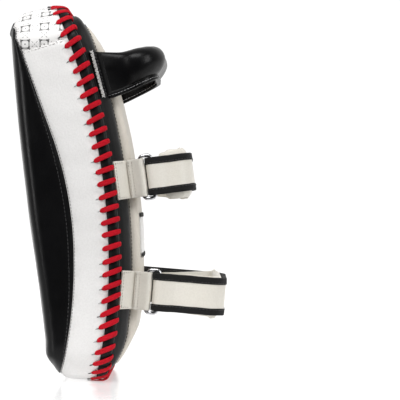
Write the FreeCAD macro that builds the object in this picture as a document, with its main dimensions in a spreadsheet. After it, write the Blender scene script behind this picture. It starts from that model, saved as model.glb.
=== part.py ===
import FreeCAD, Part
import math
import os
from FreeCAD import Placement, Rotation, Vector

os.makedirs("parts", exist_ok=True)
doc = FreeCAD.newDocument("thai_pad")

# Frame: X is the width, -Y the striking face, +Y the back with handle and straps, +Z up.
# The origin lies on the flat bottom edge that the pad stands on. All sizes are in millimetres.

# ---------------------------------------------------------------- driving dimensions

dims = doc.addObject("Spreadsheet::Sheet", "Dimensions")

DRIVING = [
    ("pad_height", 381),
    ("pad_width", 196),
    ("corner_radius", 42),
    ("cover_leather", 2.4),
    ("front_top_y", -66),
    ("front_foot_y", -21),
    ("front_top_z", 372),
    ("front_curve", 3600),
    ("front_rounding", 11),
    ("top_ridge_y", -20),
    ("belly_y", 35),
    ("belly_z", 115.6),
    ("upper_curve", 669),
    ("lower_curve", 473),
    ("upper_end_angle", 24.3),
    ("lower_end_angle", -15.2),
    ("seam_belly_y", 0.5),
    ("seam_belly_z", 123.6),
    ("seam_knee_y", -22.5),
    ("seam_knee_z", 251.6),
    ("seam_crown_y", -52),
    ("seam_crown_z", 331.6),
    ("impact_depth", 18),
    ("middle_depth", 34),
    ("binding_inset", 2.2),
    ("binding_depth", 6.3),
    ("binding_width", 11),
    ("lace_radius", 0.95),
    ("lace_pitch", 12.8),
    ("lace_slant", 24),
    ("back_inset", 8.8),
    ("back_rise", 23.7),
    ("bevel_start", 10),
    ("bevel_width", 22),
    ("panel_half_width", 63),
    ("panel_rise", 6.3),
    ("panel_low", 14.6),
    ("panel_high", 362.6),
    ("panel_corner", 24),
    ("panel_leather", 1.8),
    ("patch_width", 90),
    ("patch_height", 46),
    ("strap_leather", 2.2),
    ("leg_x", 70),
    ("ring_inner_y", 38.5),
    ("ring_outer_y", 50.5),
    ("ring_length", 43.6),
    ("wire_radius", 1.9),
    ("ring_corner", 2.8),
    ("tab_bore", 2.4),
    ("strap_bore", 3.4),
    ("tab_width", 39.5),
    ("strap_thickness", 3.6),
    ("strap_width", 37),
    ("bound_thickness", 4.8),
    ("bound_width", 38.4),
    ("bound_opening", 24.5),
    ("upper_height", 201.6),
    ("upper_lean", 7.5),
    ("upper_reach", 89.5),
    ("lower_height", 94.6),
    ("lower_lean", -4.8),
    ("lower_reach", 116.5),
    ("loop_bend", 18),
    ("hook_thickness", 1.4),
    ("hook_width", 22),
    ("base_thickness", 2.2),
    ("base_width", 35.5),
    ("cuff_thickness", 9),
    ("upper_cuff_width", 58),
    ("lower_cuff_width", 49),
    ("cuff_foam_thickness", 5.4),
    ("cuff_border", 7),
    ("handle_height", 309.6),
    ("handle_lean", 15),
    ("handle_radius", 14),
    ("handle_core_radius", 10.5),
    ("handle_reach", 73.5),
    ("handle_bend", 24),
    ("handle_half_span", 38),
    ("foot_width", 47),
    ("hem_thickness", 4),
    ("hem_width", 22),
]

for row, (alias, number) in enumerate(DRIVING, start=1):
    cell = "B{}".format(row)
    dims.set("A{}".format(row), alias)
    dims.set(cell, str(number))
    dims.setAlias(cell, alias)
doc.recompute()


def size(alias):
    return float(dims.get(alias))


# ---------------------------------------------------------------- placements

SIDE_PLANE = Rotation(Vector(1, 1, 1), 120)
FRONT_PLANE = Rotation(Vector(1, 0, 0), 90)
FAR_LEFT = -150.0
BELOW = -12.0
ABOVE = 400.0


def curve_point(angle, rise):
    """A point `rise` outside the lacing curve, in Y and Z; negative angles lie below the belly."""
    radius = size("upper_curve") if angle >= 0 else size("lower_curve")
    turn = math.radians(angle)
    middle = size("belly_y") - radius
    return (
        middle + (radius + rise) * math.cos(turn),
        size("belly_z") + (radius + rise) * math.sin(turn),
    )


def height_angle(height):
    """The angle on the lacing curve at which its height is `height`."""
    radius = size("upper_curve") if height >= size("belly_z") else size("lower_curve")
    return math.degrees(math.asin((height - size("belly_z")) / radius))


def back_frame(height, lean):
    """Local frame on the lacing curve: x across, y outward from the back, z up along it."""
    along, up = curve_point(height_angle(height), 0)
    return Placement(Vector(0, along, up), Rotation(Vector(1, 0, 0), lean))


UPPER_FRAME = back_frame(size("upper_height"), size("upper_lean"))
LOWER_FRAME = back_frame(size("lower_height"), size("lower_lean"))
HANDLE_FRAME = back_frame(size("handle_height"), size("handle_lean"))


# ---------------------------------------------------------------- drawing and solid helpers


def arc_between(start, end, radius):
    """An arc whose middle bulges to the right of the way from start to end when radius > 0."""
    chord = end - start
    side = Vector(chord.y, -chord.x, 0)
    side.normalize()
    reach = abs(radius)
    sag = reach - math.sqrt(reach ** 2 - (chord.Length / 2) ** 2)
    middle = (start + end) * 0.5 + side * math.copysign(sag, radius)
    return Part.Arc(start, middle, end)


def section(name, frame, corners):
    """A closed face from (u, v, radius) corners; radius bends the edge that leaves the corner."""
    edges = []
    for index, (u, v, radius) in enumerate(corners):
        u_next, v_next, _ = corners[(index + 1) % len(corners)]
        start = Vector(u, v, 0)
        end = Vector(u_next, v_next, 0)
        if radius:
            edges.append(arc_between(start, end, radius).toShape())
        else:
            edges.append(Part.LineSegment(start, end).toShape())
    drawing = doc.addObject("Part::Feature", name + "_section")
    drawing.Shape = Part.Face(Part.Wire(edges))
    drawing.Placement = frame
    return drawing


def extrude(name, drawing, length, direction):
    solid = doc.addObject("Part::Extrusion", name)
    solid.Base = drawing
    solid.DirMode = "Custom"
    solid.Dir = direction
    solid.Symmetric = True
    solid.Solid = True
    solid.setExpression("LengthFwd", length)
    return solid


def across_pad(name, corners):
    """A side profile in Y and Z carried right across the width."""
    drawing = section(name, Placement(Vector(), SIDE_PLANE), corners)
    return extrude(name, drawing, "Dimensions.pad_width + 60", Vector(1, 0, 0))


def through_pad(name, half_width, low, high, radius):
    """A rounded rectangle in X and Z carried right through the depth."""
    turn = radius
    corners = [
        (-half_width + turn, low, 0),
        (half_width - turn, low, turn),
        (half_width, low + turn, 0),
        (half_width, high - turn, turn),
        (half_width - turn, high, 0),
        (-half_width + turn, high, turn),
        (-half_width, high - turn, 0),
        (-half_width, low + turn, turn),
    ]
    drawing = section(name, Placement(Vector(), FRONT_PLANE), corners)
    return extrude(name, drawing, "Dimensions.pad_height", Vector(0, 1, 0))


def pad_outline(name, inset):
    return through_pad(
        name,
        size("pad_width") / 2 - inset,
        inset,
        size("pad_height") - inset,
        size("corner_radius") - inset,
    )


def common(name, first, second):
    solid = doc.addObject("Part::Common", name)
    solid.Base = first
    solid.Tool = second
    return solid


def cut(name, first, second):
    solid = doc.addObject("Part::Cut", name)
    solid.Base = first
    solid.Tool = second
    return solid


def fuse(name, pieces):
    solid = doc.addObject("Part::MultiFuse", name)
    solid.Shapes = pieces
    return solid


def rounded(name, base, radius, chosen):
    """Fillet every edge of base for which chosen(edge) is true."""
    doc.recompute()
    solid = doc.addObject("Part::Fillet", name)
    solid.Base = base
    picks = []
    for index, edge in enumerate(base.Shape.Edges, start=1):
        if chosen(edge):
            picks.append((index, radius, radius))
    solid.Edges = picks
    return solid


def band_corners(path, thickness):
    """Corners of a band of even thickness along a path of (x, y, bend radius) points."""
    half = thickness / 2
    right = []
    left = []
    last = len(path) - 1
    for index, (x, y, bend) in enumerate(path):
        here = Vector(x, y, 0)
        if index > 0:
            arriving = (here - Vector(path[index - 1][0], path[index - 1][1], 0)).normalize()
        if index < last:
            leaving = (Vector(path[index + 1][0], path[index + 1][1], 0) - here).normalize()
        if index == 0:
            side = Vector(leaving.y, -leaving.x, 0)
            right.append((here + side * half, 0))
            left.append((here - side * half, 0))
        elif index == last:
            side = Vector(arriving.y, -arriving.x, 0)
            right.append((here + side * half, 0))
            left.append((here - side * half, 0))
        else:
            turn = arriving.getAngle(leaving)
            cross = arriving.x * leaving.y - arriving.y * leaving.x
            back = bend * math.tan(turn / 2)
            first = here - arriving * back
            second = here + leaving * back
            before = Vector(arriving.y, -arriving.x, 0)
            after = Vector(leaving.y, -leaving.x, 0)
            outer = bend + half
            inner = bend - half
            right_bend = outer if cross > 0 else -inner
            left_bend = inner if cross > 0 else -outer
            right.append((first + before * half, right_bend))
            right.append((second + after * half, 0))
            left.append((first - before * half, 0))
            left.append((second - after * half, -left_bend))
    corners = [(point.x, point.y, bend) for point, bend in right]
    corners += [(point.x, point.y, bend) for point, bend in reversed(left)]
    return corners


def local_direction(frame, direction):
    return frame.Rotation.multVec(direction)


def band(name, frame, path, thickness, width, middle=0.0):
    """A flat band that follows a path in the local x-y plane; middle shifts it along local z."""
    lifted = frame.multiply(Placement(Vector(0, 0, middle), Rotation()))
    drawing = section(name, lifted, band_corners(path, thickness))
    return extrude(name, drawing, width, local_direction(frame, Vector(0, 0, 1)))


def local_box(name, frame, low, high):
    solid = doc.addObject("Part::Box", name)
    solid.Length = high[0] - low[0]
    solid.Width = high[1] - low[1]
    solid.Height = high[2] - low[2]
    solid.Placement = frame.multiply(Placement(Vector(*low), Rotation()))
    return solid


def local_rod(name, frame, start, direction, radius, length):
    """A round rod that starts at a local point; radius and length are expressions."""
    solid = doc.addObject("Part::Cylinder", name)
    solid.setExpression("Radius", radius)
    solid.setExpression("Height", length)
    turn = Rotation(Vector(0, 0, 1), direction)
    solid.Placement = frame.multiply(Placement(start, turn))
    return solid


finished = []


def finish(solid, label):
    solid.Label = label
    finished.append(solid)
    return solid


# ---------------------------------------------------------------- body blocks

leather = size("cover_leather")


def side_block(name, inset):
    """The whole side profile: front curve, sloping top and flat foot, open behind."""
    slope = math.atan2(
        size("pad_height") + 1 - size("front_top_z"),
        size("top_ridge_y") - size("front_top_y"),
    )
    drop = inset / math.cos(slope)
    top_y = size("front_top_y") + inset
    corners = [
        (size("front_foot_y") + inset, BELOW if not inset else inset, 0),
        (ABOVE, BELOW if not inset else inset, 0),
        (ABOVE, size("pad_height") + 1 - inset, 0),
        (size("top_ridge_y"), size("pad_height") + 1 - drop, 0),
        (top_y, size("front_top_z") - drop + inset * math.tan(slope), size("front_curve")),
    ]
    return across_pad(name, corners)


def padded_block(name, inset):
    block = common(name + "_block", side_block(name + "_side", inset), pad_outline(name + "_rim", inset))

    def on_front(edge):
        box = edge.BoundBox
        middle = edge.valueAt((edge.FirstParameter + edge.LastParameter) / 2)
        share = middle.z / size("pad_height")
        line = size("front_foot_y") + (size("front_top_y") - size("front_foot_y")) * share
        return abs(middle.y - line) < 9 and box.YMax < 0

    return rounded(name, block, size("front_rounding") - inset, on_front)


outer_block = padded_block("outer", 0)
inner_block = padded_block("inner", leather)

curve_foot = curve_point(size("lower_end_angle"), 0)
curve_top = curve_point(size("upper_end_angle"), 0)
ahead_of_lacing = across_pad(
    "ahead_of_lacing",
    [
        (FAR_LEFT, BELOW, 0),
        (curve_foot[0], BELOW, 0),
        (curve_foot[0], curve_foot[1], size("lower_curve")),
        (size("belly_y"), size("belly_z"), size("upper_curve")),
        (curve_top[0], curve_top[1], 0),
        (curve_top[0], ABOVE, 0),
        (FAR_LEFT, ABOVE, 0),
    ],
)

SEAM_FOOT = (-19.0, -10.4)
SEAM_SHOULDER = (-58.0, 345.6)
LOWER_SEAM_CURVE = 430.0
UPPER_SEAM_CURVE = 367.0
ahead_of_seam = across_pad(
    "ahead_of_seam",
    [
        (FAR_LEFT, BELOW, 0),
        (SEAM_FOOT[0], BELOW, 0),
        (SEAM_FOOT[0], SEAM_FOOT[1], LOWER_SEAM_CURVE),
        (size("seam_belly_y"), size("seam_belly_z"), UPPER_SEAM_CURVE),
        (size("seam_knee_y"), size("seam_knee_z"), 0),
        (size("seam_crown_y"), size("seam_crown_z"), 0),
        (SEAM_SHOULDER[0], SEAM_SHOULDER[1], 0),
        (SEAM_SHOULDER[0], ABOVE, 0),
        (FAR_LEFT, ABOVE, 0),
    ],
)

TOP_SEAM = ((-75.0, 325.2), (40.0, 360.8))
above_top_seam = across_pad(
    "above_top_seam",
    [
        (TOP_SEAM[0][0], TOP_SEAM[0][1], 0),
        (TOP_SEAM[1][0], TOP_SEAM[1][1], 0),
        (TOP_SEAM[1][0], ABOVE, 0),
        (TOP_SEAM[0][0], ABOVE, 0),
    ],
)

# ---------------------------------------------------------------- leather covers

shell = cut("cover_shell", outer_block, inner_block)
shell_ahead = common("cover_shell_ahead", shell, ahead_of_lacing)
finish(common("front_cover", shell_ahead, ahead_of_seam), "front_cover")
gusset_band = cut("gusset_band", shell_ahead, ahead_of_seam)
finish(cut("side_gusset", gusset_band, above_top_seam), "side_gusset")
finish(common("top_gusset", gusset_band, above_top_seam), "top_gusset")

# ---------------------------------------------------------------- foam laminate


def ahead_of_front_curve(name, depth):
    return across_pad(
        name,
        [
            (FAR_LEFT, 0, 0),
            (size("front_foot_y") + depth, 0, 0),
            (size("front_foot_y") + depth, 0.5, size("front_curve")),
            (size("front_top_y") + depth, size("pad_height"), 0),
            (FAR_LEFT, size("pad_height"), 0),
        ],
    )


foam_body = common("foam_body", inner_block, ahead_of_lacing)
impact_limit = ahead_of_front_curve("impact_limit", size("impact_depth"))
middle_limit = ahead_of_front_curve("middle_limit", size("middle_depth"))
finish(common("impact_foam", foam_body, impact_limit), "impact_foam")
foam_behind_impact = cut("foam_behind_impact", foam_body, impact_limit)
finish(common("middle_foam", foam_behind_impact, middle_limit), "middle_foam")
finish(cut("dense_foam", foam_behind_impact, middle_limit), "dense_foam")

# ---------------------------------------------------------------- bound and laced edge


def lacing_band(name, low, high):
    """The strip between two curves parallel to the lacing curve, carried across the width."""
    foot_low = curve_point(size("lower_end_angle"), low)
    foot_high = curve_point(size("lower_end_angle"), high)
    top_low = curve_point(size("upper_end_angle"), low)
    top_high = curve_point(size("upper_end_angle"), high)
    return across_pad(
        name,
        [
            (foot_low[0], foot_low[1], 0),
            (foot_high[0], foot_high[1], size("lower_curve") + high),
            (size("belly_y") + high, size("belly_z"), size("upper_curve") + high),
            (top_high[0], top_high[1], 0),
            (top_low[0], top_low[1], -(size("upper_curve") + low)),
            (size("belly_y") + low, size("belly_z"), -(size("lower_curve") + low)),
        ],
    )


binding_outer = pad_outline("binding_outer", size("binding_inset"))
binding_inner = pad_outline("binding_inner", size("binding_inset") + size("binding_depth"))
binding_tube = cut("binding_tube", binding_outer, binding_inner)
binding_strip = lacing_band("binding_strip", 0, size("binding_width"))
finish(common("edge_binding", binding_tube, binding_strip), "edge_binding")


def rim_point(distance, inset):
    """Point and outward normal on the rounded outline, walked anticlockwise from the lower right."""
    half = size("pad_width") / 2 - inset
    height = size("pad_height") - 2 * inset
    turn = size("corner_radius") - inset
    upright = height - 2 * turn
    level = 2 * half - 2 * turn
    quarter = math.pi * turn / 2
    legs = [
        (upright, Vector(half, 0, inset + turn), Vector(0, 0, 1), Vector(1, 0, 0)),
        (quarter, Vector(half - turn, 0, inset + height - turn), None, Vector(1, 0, 0)),
        (level, Vector(half - turn, 0, inset + height), Vector(-1, 0, 0), Vector(0, 0, 1)),
        (quarter, Vector(-half + turn, 0, inset + height - turn), None, Vector(0, 0, 1)),
        (upright, Vector(-half, 0, inset + height - turn), Vector(0, 0, -1), Vector(-1, 0, 0)),
        (quarter, Vector(-half + turn, 0, inset + turn), None, Vector(-1, 0, 0)),
        (level, Vector(-half + turn, 0, inset), Vector(1, 0, 0), Vector(0, 0, -1)),
        (quarter, Vector(half - turn, 0, inset + turn), None, Vector(0, 0, -1)),
    ]
    left = distance
    for length, start, way, normal in legs:
        if left <= length:
            if way is not None:
                return start + way * left, normal
            spin = Rotation(Vector(0, -1, 0), math.degrees(left / turn))
            facing = spin.multVec(normal)
            return start + facing * turn, facing
        left -= length
    return rim_point(0.0, inset)


def rim_length(inset):
    half = size("pad_width") / 2 - inset
    height = size("pad_height") - 2 * inset
    turn = size("corner_radius") - inset
    return 2 * (2 * half - 2 * turn) + 2 * (height - 2 * turn) + 2 * math.pi * turn


LACE_CLEARANCE = 0.2
LACE_START = 0.6
LACE_HALF_RUN = 5.0


def lace_stitches():
    """One short round cord per stitch, lying slantwise over the outside of the binding."""
    radius = size("lace_radius")
    inset = size("binding_inset") - radius - LACE_CLEARANCE
    around = rim_length(inset)
    count = round(around / size("lace_pitch"))
    stitches = []
    for index in range(count):
        spot, normal = rim_point(around * (index + 0.5) / count, inset)
        angle = height_angle(spot.z)
        edge_y, _ = curve_point(angle, 0)
        outward = Vector(0, math.cos(math.radians(angle)), math.sin(math.radians(angle)))
        over = outward - normal * outward.dot(normal)
        over.normalize()
        along = normal.cross(over)
        slant = math.radians(size("lace_slant"))
        way = over * math.cos(slant) + along * math.sin(slant)
        reach = (size("binding_width") - 2 * LACE_START) / math.cos(slant)
        start = Vector(spot.x, edge_y, spot.z) + over * LACE_START - along * math.tan(slant) * LACE_HALF_RUN
        stitches.append(Part.makeCylinder(radius, reach, start, way))
    return stitches


lace = doc.addObject("Part::Feature", "lace")
lace.Shape = Part.makeCompound(lace_stitches())
lace.Placement = Placement()
finish(lace, "lace")

# ---------------------------------------------------------------- padded back


def bevelled_back(name, rise, inset):
    """The raised back with sloping margins, swept along the upper and the lower lacing curve."""
    half = size("pad_width") / 2 - size("back_inset") - inset
    flat_half = half - size("bevel_width")
    belly_y = size("belly_y")
    low = size("bevel_start") - inset
    corners = [
        (-half, belly_y, 0),
        (half, belly_y, 0),
        (half, belly_y + low, 0),
        (flat_half, belly_y + rise, 0),
        (-flat_half, belly_y + rise, 0),
        (-half, belly_y + low, 0),
    ]
    sweeps = []
    for end in ("upper", "lower"):
        level = Placement(Vector(0, 0, size("belly_z")), Rotation())
        drawing = section(name + "_" + end, level, corners)
        turned = doc.addObject("Part::Revolution", name + "_" + end)
        turned.Source = drawing
        turned.Axis = Vector(1, 0, 0)
        turned.Base = Vector(0, belly_y - size(end + "_curve"), size("belly_z"))
        turned.Angle = size(end + "_end_angle")
        turned.Solid = True
        sweeps.append(turned)
    return fuse(name + "_sweep", sweeps)


BACK_FOOT = (29.4, 2.0)
BACK_HEAD = (-3.7, 379.0)
BACK_KNEES = (51.6, 309.6)
BACK_END_CURVE = 130.0


def back_profile(name, grow):
    """The back's side profile with rounded ends; grow moves its outer side outward."""
    rise = size("back_rise") + grow
    knee_low = curve_point(height_angle(BACK_KNEES[0]), rise)
    knee_high = curve_point(height_angle(BACK_KNEES[1]), rise)
    end_curve = BACK_END_CURVE + grow
    back_shift = 0.8 * grow
    end_shift = 0.5 * grow
    return across_pad(
        name,
        [
            (FAR_LEFT, BACK_FOOT[1] - end_shift, 0),
            (BACK_FOOT[0] + back_shift, BACK_FOOT[1] - end_shift, end_curve),
            (knee_low[0], knee_low[1], size("lower_curve") + rise),
            (size("belly_y") + rise, size("belly_z"), size("upper_curve") + rise),
            (knee_high[0], knee_high[1], end_curve),
            (BACK_HEAD[0] + back_shift, BACK_HEAD[1] + end_shift, 0),
            (FAR_LEFT, BACK_HEAD[1] + end_shift, 0),
        ],
    )


def back_block(name, rise, inset):
    sweep = bevelled_back(name, rise, inset)
    ended = common(name + "_ended", sweep, back_profile(name + "_profile", rise - size("back_rise")))
    return common(name, ended, pad_outline(name + "_rim", size("back_inset") + inset))


BACK_LEATHER = 2.0
back_outer = back_block("back_outer", size("back_rise"), 0)
back_inner = back_block("back_inner", size("back_rise") - BACK_LEATHER, BACK_LEATHER)
finish(cut("back_cover", back_outer, back_inner), "back_cover")
finish(back_inner, "back_foam")

# ---------------------------------------------------------------- forearm panel and patch


def panel_block(name, low, high, inset):
    ring = cut(name + "_layer", back_profile(name + "_top", high), back_profile(name + "_under", low))
    outline = through_pad(
        name + "_rim",
        size("panel_half_width") - inset,
        size("panel_low") + inset,
        size("panel_high") - inset,
        size("panel_corner") - inset,
    )
    return common(name, ring, outline)


PANEL_GAP = 0.1
panel_leather = size("panel_leather")
panel_outer = panel_block("panel_outer", PANEL_GAP, size("panel_rise"), 0)
panel_inner = panel_block("panel_inner", PANEL_GAP, size("panel_rise") - panel_leather, panel_leather)
finish(cut("forearm_panel", panel_outer, panel_inner), "forearm_panel")
finish(panel_inner, "forearm_foam")

PATCH_THICKNESS = 1.0
PATCH_MIDDLE = 147.6
PATCH_CORNER = 4.0
patch_layer = cut(
    "patch_layer",
    back_profile("patch_top", size("panel_rise") + PATCH_THICKNESS),
    back_profile("patch_under", size("panel_rise")),
)
patch_rim = through_pad(
    "patch_rim",
    size("patch_width") / 2,
    PATCH_MIDDLE - size("patch_height") / 2,
    PATCH_MIDDLE + size("patch_height") / 2,
    PATCH_CORNER,
)
finish(common("plain_patch", patch_layer, patch_rim), "plain_patch")

# ---------------------------------------------------------------- handle

LEG_TOP_Y = 49.5
LEG_BASE_Y = 27.5
LEG_BASE_X = 69.3
LEG_BASE_HALF = 4.4
LEG_BASE_REACH = 22.5
LEG_BEND = 60.0
HANDLE_PADDING = 2.2
HANDLE_END_PADDING = 3.0
FOOT_SHIFT = -3.5


def handle_tube(name, radius, base_half, base_reach):
    """A round grip across the back with bent ends, its legs flattening toward their feet."""
    span = size("handle_half_span")
    reach = size("handle_reach")
    bend = size("handle_bend")
    grip = local_rod(
        name + "_grip",
        HANDLE_FRAME,
        Vector(-span, reach, 0),
        Vector(1, 0, 0),
        radius,
        "2 * Dimensions.handle_half_span",
    )
    pieces = [grip]
    for side, label in ((1, "near"), (-1, "far")):
        elbow = doc.addObject("Part::Torus", name + "_elbow_" + label)
        elbow.setExpression("Radius1", "Dimensions.handle_bend")
        elbow.setExpression("Radius2", radius)
        elbow.Angle3 = 90
        start_turn = 0 if side > 0 else 90
        elbow.Placement = HANDLE_FRAME.multiply(
            Placement(Vector(side * span, reach - bend, 0), Rotation(Vector(0, 0, 1), start_turn))
        )
        pieces.append(elbow)
        turned = Rotation(Vector(1, 0, 0), -90).multiply(Rotation(Vector(0, 0, 1), 90))
        top = doc.addObject("Part::Circle", name + "_leg_top_" + label)
        top.setExpression("Radius", radius)
        top.Placement = HANDLE_FRAME.multiply(
            Placement(Vector(side * (span + bend), reach - bend, 0), turned)
        )
        foot = doc.addObject("Part::Ellipse", name + "_leg_foot_" + label)
        foot.MajorRadius = base_reach
        foot.MinorRadius = base_half
        foot.Placement = HANDLE_FRAME.multiply(
            Placement(Vector(side * LEG_BASE_X, LEG_BASE_Y, FOOT_SHIFT), turned)
        )
        leg = doc.addObject("Part::Loft", name + "_leg_" + label)
        leg.Sections = [foot, top]
        leg.Solid = True
        leg.Ruled = True
        pieces.append(leg)
    return fuse(name, pieces)


handle_outer = handle_tube("handle_outer", "Dimensions.handle_radius", LEG_BASE_HALF, LEG_BASE_REACH)
handle_inner = handle_tube(
    "handle_inner",
    "Dimensions.handle_core_radius",
    LEG_BASE_HALF - HANDLE_PADDING,
    LEG_BASE_REACH - HANDLE_END_PADDING,
)
finish(cut("handle_cover", handle_outer, handle_inner), "handle_cover")
finish(handle_inner, "handle_core")

# Hem: the stitched edge below the grip, deepest beside the feet.
HEM_MIDDLE = -20.0
HEM_ROOT_Y = LEG_BASE_Y + 0.4
HEM_FAR_Y = 94.0
HEM_TOP = -14.3
HEM_ROOT_TOP = -26.3
HEM_ROOT_LOW = -30.0
HEM_FAR_LOW = -19.5
leg_line_x = size("handle_half_span") + size("handle_bend")
hem_path = []
for side in (1, -1):
    leg_points = [
        (side * LEG_BASE_X, HEM_ROOT_Y, 0),
        (side * leg_line_x, LEG_TOP_Y, LEG_BEND),
        (side * leg_line_x, size("handle_reach"), size("handle_bend")),
    ]
    hem_path += leg_points if side > 0 else leg_points[::-1]
hem_strip = band(
    "hem_strip", HANDLE_FRAME, hem_path, size("hem_thickness"), "Dimensions.hem_width", HEM_MIDDLE
)
hem_side = section(
    "hem_side",
    HANDLE_FRAME.multiply(Placement(Vector(), SIDE_PLANE)),
    [
        (HEM_ROOT_Y, HEM_ROOT_LOW, 0),
        (HEM_FAR_Y, HEM_FAR_LOW, 0),
        (HEM_FAR_Y, HEM_TOP, 0),
        (LEG_TOP_Y, HEM_TOP, 0),
        (HEM_ROOT_Y, HEM_ROOT_TOP, 0),
    ],
)
hem_limit = extrude("hem_limit", hem_side, "Dimensions.pad_width", Vector(1, 0, 0))
finish(common("handle_hem", hem_strip, hem_limit), "handle_hem")

WEDGE = [(75.4, 19.7), (67.5, 24.7), (64.3, 24.7), (64.3, LEG_BASE_Y), (74.2, LEG_BASE_Y)]
wedge_width = "Dimensions.foot_width"
wedge_frame = HANDLE_FRAME.multiply(Placement(Vector(0, 0, FOOT_SHIFT), Rotation()))
wedges = []
for side, label in ((1, "near"), (-1, "far")):
    outline = [(side * x, y, 0) for x, y in WEDGE]
    drawing = section("foot_" + label, wedge_frame, outline)
    wedges.append(
        extrude("foot_" + label, drawing, wedge_width, local_direction(HANDLE_FRAME, Vector(0, 0, 1)))
    )
finish(fuse("handle_feet", wedges), "handle_feet")

SLOPE_ANGLE = math.degrees(math.atan2(size("back_rise") - size("bevel_start"), size("bevel_width")))
STRIP_SPOT = (79.6, 16.6)
STRIP_LOW = (-2.6, 0.1, -24)
STRIP_HIGH = (2.6, 1.9, 24)
strips = []
for side, label in ((1, "near"), (-1, "far")):
    strip_frame = wedge_frame.multiply(
        Placement(
            Vector(side * STRIP_SPOT[0], STRIP_SPOT[1], 0),
            Rotation(Vector(0, 0, 1), -side * SLOPE_ANGLE),
        )
    )
    strips.append(local_box("foot_stitch_" + label, strip_frame, STRIP_LOW, STRIP_HIGH))
finish(fuse("handle_foot_stitching", strips), "handle_foot_stitching")

# ---------------------------------------------------------------- arm straps

BEVEL_FOOT = (size("pad_width") / 2 - size("back_inset"), size("bevel_start"))
BEVEL_RUN = math.hypot(size("bevel_width"), size("back_rise") - size("bevel_start"))
BEVEL_WAY = (
    -size("bevel_width") / BEVEL_RUN,
    (size("back_rise") - size("bevel_start")) / BEVEL_RUN,
)


def on_bevel(along, above):
    """A local point on the near margin: along it from its foot, and above its surface."""
    return (
        BEVEL_FOOT[0] + BEVEL_WAY[0] * along + BEVEL_WAY[1] * above,
        BEVEL_FOOT[1] + BEVEL_WAY[1] * along - BEVEL_WAY[0] * above,
    )


def bevel_at(x, above):
    """The local y of a line parallel to the margin, `above` its surface, at a given x."""
    start = on_bevel(0, above)
    return start[1] + (start[0] - x) * BEVEL_WAY[1] / -BEVEL_WAY[0]


def make_ring(side, frame, label):
    """A round-wire rectangular ring in the local y-z plane."""
    wire = "Dimensions.wire_radius"
    turn = size("ring_corner")
    half = size("ring_length") / 2
    inner_y = size("ring_inner_y")
    outer_y = size("ring_outer_y")
    x = size("leg_x")
    long_bar = "Dimensions.ring_length - 2 * Dimensions.ring_corner"
    short_bar = "Dimensions.ring_outer_y - Dimensions.ring_inner_y - 2 * Dimensions.ring_corner"
    up = Vector(0, 0, 1)
    out = Vector(0, 1, 0)
    pieces = [
        local_rod(side + "_bar_in", frame, Vector(x, inner_y, -half + turn), up, wire, long_bar),
        local_rod(side + "_bar_out", frame, Vector(x, outer_y, -half + turn), up, wire, long_bar),
        local_rod(side + "_bar_low", frame, Vector(x, inner_y + turn, -half), out, wire, short_bar),
        local_rod(side + "_bar_high", frame, Vector(x, inner_y + turn, half), out, wire, short_bar),
    ]
    upright = Rotation(Vector(1, 1, 1), 120)
    corners = [
        (outer_y - turn, half - turn, 0),
        (inner_y + turn, half - turn, 90),
        (inner_y + turn, -half + turn, 180),
        (outer_y - turn, -half + turn, 270),
    ]
    for index, (y, z, angle) in enumerate(corners):
        bend = doc.addObject("Part::Torus", "{}_ring_corner_{}".format(side, index))
        bend.setExpression("Radius1", "Dimensions.ring_corner")
        bend.setExpression("Radius2", wire)
        bend.Angle3 = 90
        turned = upright.multiply(Rotation(Vector(0, 0, 1), angle))
        bend.Placement = frame.multiply(Placement(Vector(x, y, z), turned))
        pieces.append(bend)
    finish(fuse(side + "_ring", pieces), label)


def folded_band(name, frame, path, thickness, width, spot, bore):
    """A band whose end is folded round a bar at `spot`, with a round bore for the bar."""
    half = size(width) / 2
    strip = band(name + "_flat", frame, path, thickness, "Dimensions." + width)
    start = Vector(spot[0], spot[1], -half)
    up = Vector(0, 0, 1)
    fold_radius = "Dimensions.{} + Dimensions.strap_leather".format(bore)
    fold = local_rod(name + "_fold", frame, start, up, fold_radius, "Dimensions." + width)
    hole = local_rod(name + "_bore", frame, start, up, "Dimensions." + bore, "Dimensions." + width)
    return cut(name, fuse(name + "_joined", [strip, fold]), hole)


def tongue_outline(name, frame, half_width, tip, top):
    """A straight strap end with a fully rounded tip, as a block through the strap."""
    middle = tip + half_width
    corners = [
        (tip, 0, -half_width),
        (middle, half_width, 0),
        (top, half_width, 0),
        (top, -half_width, 0),
        (middle, -half_width, -half_width),
    ]
    plane = frame.multiply(Placement(Vector(), SIDE_PLANE))
    drawing = section(name, plane, corners)
    return extrude(name, drawing, "4 * Dimensions.leg_x", Vector(1, 0, 0))


STRAP_GAP = 0.3
SEWN_GAP = 0.6
FOLD_CLEAR = 9.0
EDGING_DEPTH = 8.0
TONGUE_SETBACK = 1.6
TONGUE_EDGING = 0.6
TONGUE_BORDER = 6.0
HOOK_SETBACK = 17.0
HOOK_LOWEST = 40.0
CUFF_BEND = 13.0
CUFF_NEAR_END = 57.0
CUFF_FAR_END = 44.0
CUFF_FLARE = 6.5
CUFF_SHOULDER = 10.0


def tongue_root(side):
    """The local y at which the far leg of a strap turns into its tongue."""
    return size(side + "_reach") - size("loop_bend") - TONGUE_SETBACK


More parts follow.
